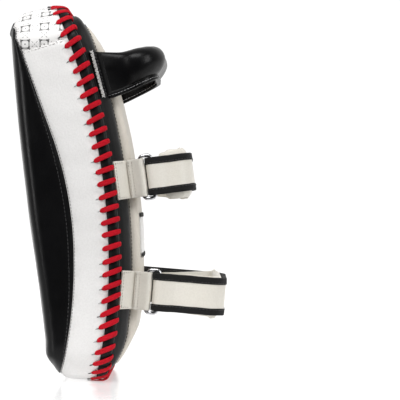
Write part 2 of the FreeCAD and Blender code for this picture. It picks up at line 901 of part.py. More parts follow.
def make_strap(side, frame, tongue_path, tongue_tip):
    leg_x = size("leg_x")
    reach = size(side + "_reach")
    bend = size("loop_bend")
    root = tongue_root(side)
    gap = STRAP_GAP

    # Ring tab: sewn flat on the near margin, then folded round the ring's inner bar.
    tab_thickness = 2 * size("strap_leather")
    lift = tab_thickness / 2 + SEWN_GAP
    tab_path = [
        on_bevel(2.6, lift) + (0,),
        (leg_x - 0.6, bevel_at(leg_x - 0.6, lift), 4),
        (leg_x, size("ring_inner_y"), 0),
    ]
    inner_bar = (leg_x, size("ring_inner_y"))
    tab = folded_band(side + "_tab", frame, tab_path, tab_thickness, "tab_width", inner_bar, "tab_bore")
    finish(tab, side + "_ring_tab")
    make_ring(side, frame, side + "_ring")

    # Outer strap: folded round the outer bar, out along the near leg and across to the far bend.
    strap_path = [
        (leg_x, size("ring_outer_y"), 0),
        (leg_x, reach, bend),
        (-leg_x, reach, bend),
        (-leg_x, root + gap, 0),
    ]
    outer_bar = (leg_x, size("ring_outer_y"))
    strap = folded_band(
        side + "_strap_body",
        frame,
        strap_path,
        size("strap_thickness"),
        "strap_width",
        outer_bar,
        "strap_bore",
    )
    finish(strap, side + "_strap")
    edging_path = [(leg_x, size("ring_outer_y") + FOLD_CLEAR, 0)] + strap_path[1:]
    wide = band(
        side + "_edging_wide", frame, edging_path, size("bound_thickness"), "Dimensions.bound_width"
    )
    window = band(
        side + "_edging_window", frame, edging_path, EDGING_DEPTH, "Dimensions.bound_opening"
    )
    edging = cut(side + "_edging", cut(side + "_edging_pair", wide, window), strap)
    finish(edging, side + "_strap_edging")

    # Tongue: the free end that peels off, its edging, and the hook patch beneath it.
    bound_half = size("bound_width") / 2
    plain_half = bound_half - TONGUE_EDGING
    opening_half = size("bound_opening") / 2
    tongue_top = root + FOLD_CLEAR
    outline = tongue_outline(
        side + "_tongue_rim", frame, plain_half, tongue_tip + TONGUE_EDGING, tongue_top
    )
    tongue_band = band(
        side + "_tongue_band", frame, tongue_path, size("strap_thickness"), "Dimensions.bound_width"
    )
    tongue = common(side + "_tongue_body", tongue_band, outline)
    finish(tongue, side + "_tongue")
    wide_rim = tongue_outline(side + "_tongue_wide", frame, bound_half, tongue_tip, tongue_top)
    window_rim = tongue_outline(
        side + "_tongue_window", frame, opening_half, tongue_tip + TONGUE_BORDER, tongue_top + 3
    )
    edging_band = band(
        side + "_tongue_edging_band",
        frame,
        tongue_path,
        size("bound_thickness"),
        "1.5 * Dimensions.bound_width",
    )
    edging_full = common(side + "_tongue_edging_full", edging_band, wide_rim)
    edging_ring = cut(side + "_tongue_edging_ring", edging_full, window_rim)
    finish(cut(side + "_tongue_edging_cut", edging_ring, tongue), side + "_tongue_edging")
    hook_x = -leg_x + size("strap_thickness") / 2 + size("hook_thickness") / 2
    hook_low = max(tongue_tip + HOOK_SETBACK, HOOK_LOWEST)
    hook_path = [(hook_x, root - 4, 0), (hook_x, hook_low, 0)]
    hook = band(
        side + "_hook_band", frame, hook_path, size("hook_thickness"), "Dimensions.hook_width"
    )
    finish(hook, side + "_hook_patch")

    # Base strap: loop pile, sewn on the far margin and standing up under the tongue.
    base_lift = size("base_thickness") / 2 + SEWN_GAP
    base_x = hook_x + size("hook_thickness") / 2 + gap + size("base_thickness") / 2
    sewn = on_bevel(1.6, base_lift)
    base_path = [
        (-sewn[0], sewn[1], 0),
        (base_x, bevel_at(-base_x, base_lift), 5),
        (base_x, root - 2.4, 0),
    ]
    base = band(
        side + "_base_band", frame, base_path, size("base_thickness"), "Dimensions.base_width"
    )
    finish(base, side + "_base_strap")

    # Cuff: a padded lining inside the strap, wider across the arm than at its ends.
    cuff = size("cuff_thickness")
    bound_depth = size("bound_thickness") / 2
    near_x = leg_x - bound_depth - gap - cuff / 2
    far_x = base_x + size("base_thickness") / 2 + gap + cuff / 2
    top_y = reach - bound_depth - gap - cuff / 2
    bends = [(near_x, top_y, CUFF_BEND), (far_x, top_y, CUFF_BEND)]
    cuff_path = [(near_x, CUFF_NEAR_END, 0)] + bends + [(far_x, CUFF_FAR_END, 0)]
    cuff_width = "Dimensions.{}_cuff_width".format(side)
    cuff_band = band(side + "_cuff_band", frame, cuff_path, cuff, cuff_width)
    cuff_half = size(side + "_cuff_width") / 2
    end_half = cuff_half - CUFF_FLARE
    end_y = CUFF_FAR_END - 4
    shoulder_y = reach - CUFF_SHOULDER
    plane = frame.multiply(Placement(Vector(), SIDE_PLANE))
    cuff_side = section(
        side + "_cuff_side",
        plane,
        [
            (end_y, -end_half, 0),
            (shoulder_y, -cuff_half, 0),
            (reach + CUFF_SHOULDER, -cuff_half, 0),
            (reach + CUFF_SHOULDER, cuff_half, 0),
            (shoulder_y, cuff_half, 0),
            (end_y, end_half, 0),
        ],
    )
    cuff_limit = extrude(side + "_cuff_limit", cuff_side, "4 * Dimensions.leg_x", Vector(1, 0, 0))
    cuff_shaped = common(side + "_cuff_shaped", cuff_band, cuff_limit)
    foam_path = [(near_x, CUFF_NEAR_END + 3, 0)] + bends + [(far_x, CUFF_FAR_END + 3, 0)]
    cuff_foam = band(
        side + "_cuff_foam_band",
        frame,
        foam_path,
        size("cuff_foam_thickness"),
        cuff_width + " - 2 * Dimensions.cuff_border",
    )
    finish(cut(side + "_cuff_cover", cuff_shaped, cuff_foam), side + "_cuff")
    finish(cuff_foam, side + "_cuff_foam")


# The upper tongue ends in the air; the lower one is longer and turns out over the far margin.
UPPER_TIP = 32.0
LOWER_TIP = 11.0
TONGUE_GAP = 0.5
TONGUE_BEND = 8.0
leg = size("leg_x")
lower_lift = size("base_thickness") + SEWN_GAP + TONGUE_GAP + size("bound_thickness") / 2
lower_end = on_bevel(1.2, lower_lift)
upper_path = [(-leg, tongue_root("upper"), 0), (-leg, UPPER_TIP - 7, 0)]
lower_path = [
    (-leg, tongue_root("lower"), 0),
    (-leg, bevel_at(leg, lower_lift), TONGUE_BEND),
    (-lower_end[0], lower_end[1], 0),
]
make_strap("upper", UPPER_FRAME, upper_path, UPPER_TIP)
make_strap("lower", LOWER_FRAME, lower_path, LOWER_TIP)

# ---------------------------------------------------------------- test and export

doc.recompute()
problems = []
for item in doc.Objects:
    if "Invalid" in item.State or "Error" in item.State:
        problems.append("{} is {}".format(item.Name, item.State))
for item in finished:
    if item.Shape.isNull() or not item.Shape.isValid() or not item.Shape.Solids:
        problems.append("{} has no valid solid".format(item.Label))
if problems:
    raise RuntimeError("; ".join(problems))
for item in finished:
    item.Shape.exportStep(os.path.join("parts", item.Label + ".step"))
    box = item.Shape.BoundBox
    print(
        "{:24s} solids {:3d} volume {:10.0f}  x {:7.1f} {:7.1f}  y {:7.1f} {:7.1f}  z {:7.1f} {:7.1f}".format(
            item.Label, len(item.Shape.Solids), item.Shape.Volume,
            box.XMin, box.XMax, box.YMin, box.YMax, box.ZMin, box.ZMax,
        )
    )
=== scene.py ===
import math

import bmesh
import bpy
import numpy as np
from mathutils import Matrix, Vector, noise


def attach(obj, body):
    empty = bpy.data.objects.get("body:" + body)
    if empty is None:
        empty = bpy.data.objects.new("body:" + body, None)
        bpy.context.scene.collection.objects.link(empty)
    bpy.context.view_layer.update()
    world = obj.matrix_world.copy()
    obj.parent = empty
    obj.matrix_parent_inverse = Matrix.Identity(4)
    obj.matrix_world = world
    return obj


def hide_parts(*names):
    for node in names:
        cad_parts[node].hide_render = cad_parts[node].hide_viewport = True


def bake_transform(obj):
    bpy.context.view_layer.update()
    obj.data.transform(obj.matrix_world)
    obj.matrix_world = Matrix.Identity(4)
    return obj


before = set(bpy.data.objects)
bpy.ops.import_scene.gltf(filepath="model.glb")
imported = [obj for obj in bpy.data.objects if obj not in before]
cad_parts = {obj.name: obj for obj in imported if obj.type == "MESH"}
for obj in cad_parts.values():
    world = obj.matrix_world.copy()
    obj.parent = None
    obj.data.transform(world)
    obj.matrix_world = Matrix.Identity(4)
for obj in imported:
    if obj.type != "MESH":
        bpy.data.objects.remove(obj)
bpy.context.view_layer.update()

# Frame: X is the width, -Y the striking face, +Y the back, +Z up. Sizes below are in
# millimetres, as the pad was designed, and new_piece turns them into metres.
MM = 0.001

# ---------------------------------------------------------------- driving sizes

PAD_HALF = 98.0
PAD_HEIGHT = 381.0
CORNER = 42.0
BELLY = (35.0, 115.6)
UPPER_R = 669.0
LOWER_R = 473.0
FRONT = [
    (-26.5, -12.0, 0),
    (-28.0, 0.0, -200.0),
    (-30.6, 22.0, 0),
    (-30.2, 42.0, 0),
    (-36.3, 95.0, -3000.0),
    (-66.0, 365.6, 0),
    (-66.5, 394.0, 0),
]
SEAM = [
    (-19.0, -10.4, 430.0),
    (0.5, 123.6, 367.0),
    (-22.5, 251.6, 0),
    (-52.0, 331.6, 0),
    (-58.5, 347.6, 40.0),
    (-62.5, 371.6, 0),
    (-62.5, 404.0, 0),
]
TOP_RIDGE_Y = -20.0
TOP_SLOPE = 0.22
TOP_SEAM = ((-75.0, 325.2), (40.0, 360.8))
TOP_SEAM_SLOPE = (TOP_SEAM[1][1] - TOP_SEAM[0][1]) / (TOP_SEAM[1][0] - TOP_SEAM[0][0])
FRONT_ROUND = 13.0
BINDING_HALF = 5.5
BINDING_INSET = 5.6
STITCH_COUNT = 85
STITCH_SLOPE = 0.36
BACK_INSET = 8.8
END_TAPER = 46.0
BACK_RISE = 23.7
BEVEL_START = 10.0
BEVEL_WIDTH = 22.0
PANEL_HALF = 63.0
PANEL_LOW = 14.6
PANEL_HIGH = 362.6
PANEL_CORNER = 24.0
PANEL_RISE = 6.3
PATCH_HALF = 45.0
PATCH_LOW = 124.6
PATCH_HIGH = 170.6
BACK_KNEES = (51.6, 309.6)
BACK_FOOT = (29.4, 2.0)
BACK_HEAD = (-3.7, 379.0)
BACK_END_R = 130.0
# Each seam's stitch pitch, stitch length and thread radius.
SEWING = {
    "gusset": (3.4, 2.5, 0.24),
    "front": (4.0, 2.9, 0.42),
    "top": (3.6, 2.5, 0.36),
    "panel": (3.8, 2.8, 0.42),
    "hem": (3.4, 2.8, 0.34),
    "foot": (3.2, 2.4, 0.45),
    "tab_fold": (2.9, 2.0, 0.34),
    "tab": (3.2, 2.2, 0.34),
    "tape": (3.4, 2.5, 0.3),
    "tack": (2.2, 2.0, 0.42),
}


def lacing_y(z, rise=0.0):
    """Y of the line `rise` outside the lacing curve."""
    z = np.asarray(z, float)
    radius = np.where(z >= BELLY[1], UPPER_R, LOWER_R)
    return BELLY[0] - radius + np.sqrt((radius + rise) ** 2 - (z - BELLY[1]) ** 2)


def lacing_angle(z):
    """The lacing curve's lean at a height, in radians."""
    z = np.asarray(z, float)
    radius = np.where(z >= BELLY[1], UPPER_R, LOWER_R)
    return np.arcsin((z - BELLY[1]) / radius)


def arc_y(z, start, end, radius):
    """Y at height z on the line or arc from start up to end; radius > 0 bulges toward +Y."""
    (y0, z0), (y1, z1) = start, end
    share = (z - z0) / (z1 - z0)
    if not radius:
        return y0 + (y1 - y0) * share
    length = math.hypot(y1 - y0, z1 - z0)
    apothem = math.sqrt(radius ** 2 - (length / 2) ** 2)
    side = math.copysign(1.0, radius)
    middle_y = (y0 + y1) / 2 - side * (z1 - z0) / length * apothem
    middle_z = (z0 + z1) / 2 + side * (y1 - y0) / length * apothem
    return middle_y + side * np.sqrt(np.maximum(radius ** 2 - (z - middle_z) ** 2, 0.0))


def top_seam_z(y):
    return TOP_SEAM[0][1] + (y - TOP_SEAM[0][0]) * TOP_SEAM_SLOPE


def profile_y(profile, z):
    """Y at height z on a side profile of (y, z, radius of the stretch above) corners."""
    z = np.asarray(z, float)
    y = np.full(z.shape, profile[0][0], float)
    for (y0, z0, radius), (y1, z1, _) in zip(profile, profile[1:]):
        inside = (z >= z0) & (z <= z1)
        y = np.where(inside, arc_y(z, (y0, z0), (y1, z1), radius), y)
    return y


def back_y(z, grow):
    """The back's side profile with rounded ends, grown outward."""
    rise = BACK_RISE + grow
    low_turn = math.asin((BACK_KNEES[0] - BELLY[1]) / LOWER_R)
    high_turn = math.asin((BACK_KNEES[1] - BELLY[1]) / UPPER_R)
    low = (
        BELLY[0] - LOWER_R + (LOWER_R + rise) * math.cos(low_turn),
        BELLY[1] + (LOWER_R + rise) * math.sin(low_turn),
    )
    high = (
        BELLY[0] - UPPER_R + (UPPER_R + rise) * math.cos(high_turn),
        BELLY[1] + (UPPER_R + rise) * math.sin(high_turn),
    )
    foot = (BACK_FOOT[0] + 0.8 * grow, BACK_FOOT[1] - 0.5 * grow)
    head = (BACK_HEAD[0] + 0.8 * grow, BACK_HEAD[1] + 0.5 * grow)
    z = np.asarray(z, float)
    y = lacing_y(z, rise)
    y = np.where(z < low[1], arc_y(z, foot, low, BACK_END_R + grow), y)
    return np.where(z > high[1], arc_y(z, high, head, BACK_END_R + grow), y)


def soft_min(a, b, width):
    """The lower of a and b, rounded where they cross."""
    blend = np.clip(0.5 + 0.5 * (b - a) / width, 0.0, 1.0)
    return b * (1 - blend) + a * blend - width * blend * (1 - blend)


def smooth(value, low, high):
    """From 0 at low to 1 at high, level at both."""
    share = np.clip((value - low) / (high - low), 0.0, 1.0)
    return share * share * (3 - 2 * share)


# ---------------------------------------------------------------- mesh helpers


def new_piece(name, points, faces, uv=None, marks=None, lay=None):
    """An object from points in millimetres.

    uv has one pair per face corner, and marks and lay have one entry per point.
    """
    mesh = bpy.data.meshes.new(name)
    mesh.from_pydata([tuple(p) for p in np.asarray(points, float) * MM], [], faces)
    if uv is not None:
        layer = mesh.uv_layers.new(name="lay")
        flat = np.asarray([pair for face in uv for pair in face], np.float32) * MM
        layer.data.foreach_set("uv", flat.ravel())
    if marks is not None:
        # The seam mark lies at seams, tucks, grooves and joins; the leather materials paint shade there by
        # darkening the colour, and roughen and crease it.
        mark = mesh.attributes.new("seam", "FLOAT", "POINT")
        mark.data.foreach_set("value", np.asarray(marks, np.float32).ravel())
    if lay is not None:
        spread = mesh.attributes.new("around", "FLOAT_VECTOR", "POINT")
        spread.data.foreach_set("vector", (np.asarray(lay, np.float32) * MM).ravel())
    mesh.polygons.foreach_set("use_smooth", [True] * len(mesh.polygons))
    piece = bpy.data.objects.new(name, mesh)
    bpy.context.scene.collection.objects.link(piece)
    return piece


def grid(rows, closed=False, u=None, v=None, flip=False, caps=False):
    """Points and quads over rows x columns of points; closed joins each row's end to its start."""
    rows = np.asarray(rows, float)
    count, width, _ = rows.shape
    faces = []
    pairs = []
    last = width if closed else width - 1
    for r in range(count - 1):
        for c in range(last):
            n = (c + 1) % width
            quad = [r * width + c, r * width + n, (r + 1) * width + n, (r + 1) * width + c]
            if u is not None:
                corner = [(u[c], v[r]), (u[c + 1], v[r]), (u[c + 1], v[r + 1]), (u[c], v[r + 1])]
            if flip:
                quad.reverse()
                if u is not None:
                    corner.reverse()
            faces.append(quad)
            if u is not None:
                pairs.append(corner)
    if caps:
        first = list(range(width))
        final = [(count - 1) * width + c for c in range(width)]
        first.reverse()
        if flip:
            first.reverse()
            final.reverse()
        for cap in (first, final):
            faces.append(cap)
            if u is not None:
                pairs.append([(0.0, 0.0)] * width)
    return rows.reshape(-1, 3), faces, (pairs if u is not None else None)


class Parts:
    """Several grids gathered into one mesh."""

    def __init__(self):
        self.points = []
        self.faces = []
        self.uv = []
        self.count = 0

    def add(self, made):
        points, faces, uv = made
        self.points.append(points)
        self.faces += [[i + self.count for i in face] for face in faces]
        self.uv += uv
        self.count += len(points)

    def piece(self, name):
        return new_piece(name, np.concatenate(self.points), self.faces, self.uv)


def weld(piece, distance=0.00002):
    """Joins points that lie together and turns every face outward."""
    work = bmesh.new()
    work.from_mesh(piece.data)
    bmesh.ops.remove_doubles(work, verts=work.verts, dist=distance)
    bmesh.ops.recalc_face_normals(work, faces=work.faces)
    work.to_mesh(piece.data)
    work.free()


def subdivide(piece, levels=1):
    modifier = piece.modifiers.new("rounding", "SUBSURF")
    modifier.levels = levels
    modifier.render_levels = levels


def ripple(points, scale, seed):
    """Smooth noise from -1 to 1 at points in millimetres, with features about `scale` long."""
    shift = Vector((seed * 7.13, seed * 3.71, seed * 5.37))
    flat = np.asarray(points, float).reshape(-1, 3) / scale
    values = [noise.noise(Vector(p) + shift) for p in flat]
    return np.asarray(values).reshape(np.asarray(points).shape[:-1])


def curve_through(points, count):
    """Evenly spaced points on a smooth curve through the given ones."""
    points = np.asarray(points, float)
    ends = np.vstack([2 * points[0] - points[1], points, 2 * points[-1] - points[-2]])
    fine = []
    for i in range(1, len(ends) - 2):
        p0, p1, p2, p3 = ends[i - 1], ends[i], ends[i + 1], ends[i + 2]
        for t in np.linspace(0, 1, 12, endpoint=False):
            fine.append(
                0.5 * (2 * p1 + (p2 - p0) * t + (2 * p0 - 5 * p1 + 4 * p2 - p3) * t ** 2
                       + (3 * p1 - p0 - 3 * p2 + p3) * t ** 3)
            )
    fine.append(points[-1])
    return resample(np.asarray(fine), count)[0]


def walked(points):
    """Length walked along the points, to each of them."""
    steps = np.linalg.norm(np.diff(points, axis=0), axis=1)
    return np.concatenate([[0], np.cumsum(steps)])


def resample(points, count):
    """Evenly spaced points along a line, and the length walked to each."""
    reach = walked(points)
    wanted = np.linspace(0, reach[-1], count)
    columns = [np.interp(wanted, reach, points[:, k]) for k in range(points.shape[1])]
    return np.stack(columns, axis=1), wanted


def unit(vectors):
    return vectors / np.maximum(np.linalg.norm(vectors, axis=-1, keepdims=True), 1e-9)


def ways(line):
    """The direction along a flat line at each of its points, and the direction to its right."""
    way = unit(np.gradient(line, axis=0))
    return way, np.stack([way[:, 1], -way[:, 0]], axis=1)


def squared(wave, power):
    """A sine or cosine pushed toward its limits, which turns a circle squarer."""
    return np.sign(wave) * np.abs(wave) ** power


def ring_angles(count):
    return np.arange(count) / count * 2 * math.pi


class Outline:
    """A rounded rectangle in X and Z, walked anticlockwise from its lower right."""

    def __init__(self, half, low, high, turn, long_count, short_count, corner_count):
        self.size = (half, low, high, turn)
        self.counts = (long_count, short_count, corner_count)

    def at(self, inset):
        """x, z and the outward normal of every column at an inset."""
        half, low, high, turn = self.size
        long_count, short_count, corner_count = self.counts
        half = half - inset
        low = low + inset
        high = high - inset
        turn = min(max(turn - inset, 0.22 * half), 0.5 * (high - low), half)
        up = np.arange(long_count) / long_count
        over = np.arange(short_count) / short_count
        bend = np.arange(corner_count) / corner_count * math.pi / 2
        rise = high - low - 2 * turn
        reach = 2 * (half - turn)
        one = np.ones
        x = [one(long_count) * half, half - turn + turn * np.cos(bend), half - turn - over * reach,
             -half + turn - turn * np.sin(bend), -one(long_count) * half,
             -half + turn - turn * np.cos(bend), -half + turn + over * reach,
             half - turn + turn * np.sin(bend)]
        z = [low + turn + up * rise, high - turn + turn * np.sin(bend), one(short_count) * high,
             high - turn + turn * np.cos(bend), high - turn - up * rise,
             low + turn - turn * np.sin(bend), one(short_count) * low,
             low + turn - turn * np.cos(bend)]
        nx = [one(long_count), np.cos(bend), 0 * over, -np.sin(bend), -one(long_count),
              -np.cos(bend), 0 * over, np.sin(bend)]
        nz = [0 * up, np.sin(bend), one(short_count), np.cos(bend), 0 * up, -np.sin(bend),
              -one(short_count), -np.cos(bend)]
        return tuple(np.concatenate(part) for part in (x, z, nx, nz))

    def distance(self):
        """Length walked to each column, and once round."""
        x, z, _, _ = self.at(0.0)
        return walked(np.stack([np.append(x, x[0]), np.append(z, z[0])], axis=1))


def lowered(z, y):
    """The pad's top slopes down toward its front, and its underside rises a little there."""
    drop = np.maximum(TOP_RIDGE_Y - y, 0.0) * TOP_SLOPE + 9.0 * np.clip((-50.0 - y) / 15.0, 0, 1.3) ** 2
    lift = np.maximum(19.0 - y, 0.0) * 0.10 + 5.5 * np.clip((-6.0 - y) / 13.0, 0, 1.2) ** 2
    return (z - drop * smooth(z, PAD_HEIGHT - CORNER, PAD_HEIGHT)
            + lift * (1 - smooth(z, 0.0, CORNER * 0.8)))


def stitch_strip(line, normals, seam, sides=6):
    """Short rounded stitches along a line on a surface, their ends sunk into it."""
    pitch, length, radius = SEWING[seam]
    normals = np.broadcast_to(np.asarray(normals, float), line.shape)
    reach = walked(line)
    parts = []
    total = int(reach[-1] // pitch)
    for index in range(total):
        start = (index + 0.5) * reach[-1] / total - length / 2
        at = start + np.linspace(0, 1, 6) * length
        spots = np.stack([np.interp(at, reach, line[:, k]) for k in range(3)], axis=1)
        facing = unit(np.stack([np.interp(at, reach, normals[:, k]) for k in range(3)], axis=1))
        arch = np.sin(np.linspace(0.04, 0.96, 6) * math.pi) ** 0.6
        width = radius * (0.45 + 0.55 * arch)
        along = unit(np.gradient(spots, axis=0))
        side = unit(np.cross(along, facing))
        centre = spots + facing * ((arch * 1.15 - 0.75) * radius)[:, None]
        turn = ring_angles(sides)
        rows = [
            centre[r] + width[r] * (np.cos(turn)[:, None] * side[r] + np.sin(turn)[:, None] * facing[r])
            for r in range(6)
        ]
        parts.append(np.asarray(rows))
    return parts


def stitch_piece(name, runs):
    """One piece of all the stitches in several runs."""
    gathered = Parts()
    for run in runs:
        for rows in run:
            width = rows.shape[1]
            u = list(np.linspace(0, 4, width + 1))
            v = list(np.linspace(0, 3, rows.shape[0]))
            gathered.add(grid(rows, closed=True, u=u, v=v, caps=True))
    piece = gathered.piece(name)
    weld(piece, 0.0)
    return piece


# ---------------------------------------------------------------- materials


class Nodes:
    """Shorthand for building one material's node tree."""

    def __init__(self, name):
        self.material = bpy.data.materials.new(name)
        self.material.use_nodes = True
        self.tree = self.material.node_tree
        self.shader = self.tree.nodes["Principled BSDF"]

    def node(self, kind, inputs=None, **settings):
        made = self.tree.nodes.new(kind)
        for key, value in settings.items():
            setattr(made, key, value)
        for key, value in (inputs or {}).items():
            if isinstance(value, bpy.types.NodeSocket):
                self.tree.links.new(value, made.inputs[key])
            else:
                made.inputs[key].default_value = value
        return made

    def place(self, kind="Object"):
        return self.node("ShaderNodeTexCoord").outputs[kind]

    def stretched(self, vector, scale):
        return self.node("ShaderNodeMapping", {"Vector": vector, "Scale": scale}).outputs["Vector"]

    def noise(self, vector, scale, detail=2.0, rough=0.5, distortion=0.0):
        values = {"Vector": vector, "Scale": scale, "Detail": detail, "Roughness": rough,
                  "Distortion": distortion}
        return self.node("ShaderNodeTexNoise", values).outputs["Fac"]

    def cells(self, vector, scale, feature="F1", randomness=1.0):
        values = {"Vector": vector, "Scale": scale, "Randomness": randomness}
        return self.node("ShaderNodeTexVoronoi", values, feature=feature).outputs["Distance"]

    def math(self, operation, first, second=0.0, clamp=False):
        made = self.node("ShaderNodeMath", {0: first, 1: second}, operation=operation)
        made.use_clamp = clamp
        return made.outputs[0]

    def spread(self, value, low, high, to_low, to_high):
        values = {"Value": value, "From Min": low, "From Max": high, "To Min": to_low,
                  "To Max": to_high}
        return self.node("ShaderNodeMapRange", values, clamp=True).outputs["Result"]

    def mix(self, factor, first, second):
        made = self.node("ShaderNodeMix", data_type="RGBA")
        for index, value in ((0, factor), (6, first), (7, second)):
            if isinstance(value, bpy.types.NodeSocket):
                self.tree.links.new(value, made.inputs[index])
            elif index == 0:
                made.inputs[0].default_value = value
            else:
                made.inputs[index].default_value = (*value, 1.0)
        return made.outputs[2]

    def bump(self, height, distance, strength=1.0, normal=None):
        values = {"Height": height, "Distance": distance, "Strength": strength}
        if normal is not None:
            values["Normal"] = normal
        return self.node("ShaderNodeBump", values).outputs["Normal"]

    def seam(self):
        return self.node("ShaderNodeAttribute", attribute_name="seam").outputs["Fac"]

    def done(self, **sockets):
        for key, value in sockets.items():
            socket = self.shader.inputs[key.replace("_", " ")]
            if isinstance(value, bpy.types.NodeSocket):
                self.tree.links.new(value, socket)
            elif isinstance(value, tuple) and len(value) == 3:
                socket.default_value = (*value, 1.0)
            else:
                socket.default_value = value
        return self.material


def leather(name, base, shade, grain_and_painted_shade, rough, grain, crease, coat=0.0, specular=0.5):
    """Finished leather: pebbled grain, pores, creases and painted shade toward seams, uneven gloss and
    handled tone.
    """
    make = Nodes(name)
    place = make.place()
    seam = make.seam()
    pebble = make.cells(place, 620.0, "SMOOTH_F1")
    pores = make.noise(place, 1900.0, 3.0, 0.6)
    folds = make.noise(make.stretched(place, (1.0, 1.0, 0.45)), 150.0, 4.0, 0.62, 0.6)
    sharp = make.math("ABSOLUTE", make.math("SUBTRACT", folds, 0.5))
    fold_height = make.math("MULTIPLY", make.spread(sharp, 0.0, 0.09, 0.0, 1.0),
                            make.spread(seam, 0.0, 1.0, 0.25, 1.0))
    cloudy = make.noise(place, 16.0, 3.0)
    blotch = make.noise(place, 60.0, 4.0, 0.6)
    tone = make.mix(make.spread(cloudy, 0.35, 0.7, 0.0, 1.0), base, shade)
    tone = make.mix(make.spread(pebble, 0.15, 0.6, 0.10, 0.0), tone, grain_and_painted_shade)
    # Painted shade: where the seam mark is high the colour is darkened, by an amount the blotch noise
    # varies.
    tone = make.mix(make.math("MULTIPLY", seam, make.spread(blotch, 0.3, 0.7, 0.25, 0.6)), tone, grain_and_painted_shade)
    gloss = make.spread(blotch, 0.3, 0.72, rough[0], rough[1])
    gloss = make.math("ADD", gloss, make.math("MULTIPLY", seam, 0.10))
    normal = make.bump(fold_height, crease, 0.6)
    normal = make.bump(pebble, grain, 0.7, normal)
    normal = make.bump(pores, grain * 0.35, 0.5, normal)
    return make.done(Base_Color=tone, Roughness=gloss, Normal=normal, Coat_Weight=coat,
                     Coat_Roughness=0.16, Specular_IOR_Level=specular)


def webbing(name, base, shade, pitch, rough=0.75, sheen=0.3, specular=0.3):
    """A woven tape: over-and-under ribs across it, along the piece's own lay."""
    make = Nodes(name)
    lay = make.place("UV")
    turn = 2 * math.pi / pitch
    parts = make.node("ShaderNodeSeparateXYZ", {0: lay})
    along = make.math("SINE", make.math("MULTIPLY", parts.outputs["X"], turn))
    across = make.math("SINE", make.math("MULTIPLY", parts.outputs["Y"], turn * 0.72))
    weave = make.math("MULTIPLY", along, across)
    fuzz = make.noise(make.place(), 2600.0, 2.0)
    height = make.math("ADD", weave, make.math("MULTIPLY", fuzz, 0.6))
    wear = make.noise(make.place(), 45.0, 3.0)
    tone = make.mix(make.spread(weave, -0.7, 0.9, 0.0, 1.0), shade, base)
    tone = make.mix(make.spread(wear, 0.45, 0.8, 0.0, 0.35), tone, shade)
    normal = make.bump(height, 0.00028, 0.9)
    gloss = make.spread(fuzz, 0.3, 0.7, rough - 0.08, rough + 0.08)
    return make.done(Base_Color=tone, Roughness=gloss, Normal=normal, Sheen_Weight=sheen,
                     Sheen_Roughness=0.4, Specular_IOR_Level=specular)


def thread(name, base, shade, rough=0.6):
    """Twisted sewing thread."""
    make = Nodes(name)
    lay = make.place("UV")
    parts = make.node("ShaderNodeSeparateXYZ", {0: lay})
    slant = make.math("ADD", parts.outputs["X"], make.math("MULTIPLY", parts.outputs["Y"], 1.6))
    twist = make.math("SINE", make.math("MULTIPLY", slant, 9000.0))
    soil = make.noise(make.place(), 120.0, 2.0)
    tone = make.mix(make.spread(soil, 0.35, 0.75, 0.0, 0.7), base, shade)
    return make.done(Base_Color=tone, Roughness=rough, Normal=make.bump(twist, 0.00012, 0.8),
                     Sheen_Weight=0.2, Specular_IOR_Level=0.4)


def pile(name, base, shade, scale, depth):
    """Hook or loop tape: a dense field of tiny loops."""
    make = Nodes(name)
    place = make.place()
    loops = make.cells(place, scale, "F1")
    fuzz = make.noise(place, scale * 2.3, 3.0, 0.7)
    wear = make.noise(place, 70.0, 3.0)
    tone = make.mix(make.spread(loops, 0.1, 0.7, 0.0, 1.0), base, shade)
    tone = make.mix(make.spread(wear, 0.4, 0.8, 0.0, 0.4), tone, shade)
    height = make.math("ADD", loops, make.math("MULTIPLY", fuzz, 0.5))
    rough = make.spread(fuzz, 0.3, 0.7, 0.82, 0.96)
    return make.done(Base_Color=tone, Roughness=rough, Normal=make.bump(height, depth, 1.0),
                     Sheen_Weight=0.5, Sheen_Roughness=0.5, Specular_IOR_Level=0.2)


def steel(name):
    """Nickel-plated wire with fine scratches and dulled patches."""
    make = Nodes(name)
    place = make.place()
    scratch = make.noise(make.stretched(place, (1.0, 1.0, 0.12)), 1800.0, 3.0, 0.7)
    dull = make.noise(place, 90.0, 3.0)
    rough = make.math("ADD", make.spread(dull, 0.35, 0.7, 0.16, 0.30),
                      make.spread(scratch, 0.5, 0.75, 0.0, 0.12))
    tone = make.mix(make.spread(dull, 0.3, 0.8, 0.0, 1.0), (0.72, 0.72, 0.74), (0.52, 0.52, 0.54))
    return make.done(Base_Color=tone, Metallic=1.0, Roughness=rough,
                     Normal=make.bump(scratch, 0.00004, 0.5))


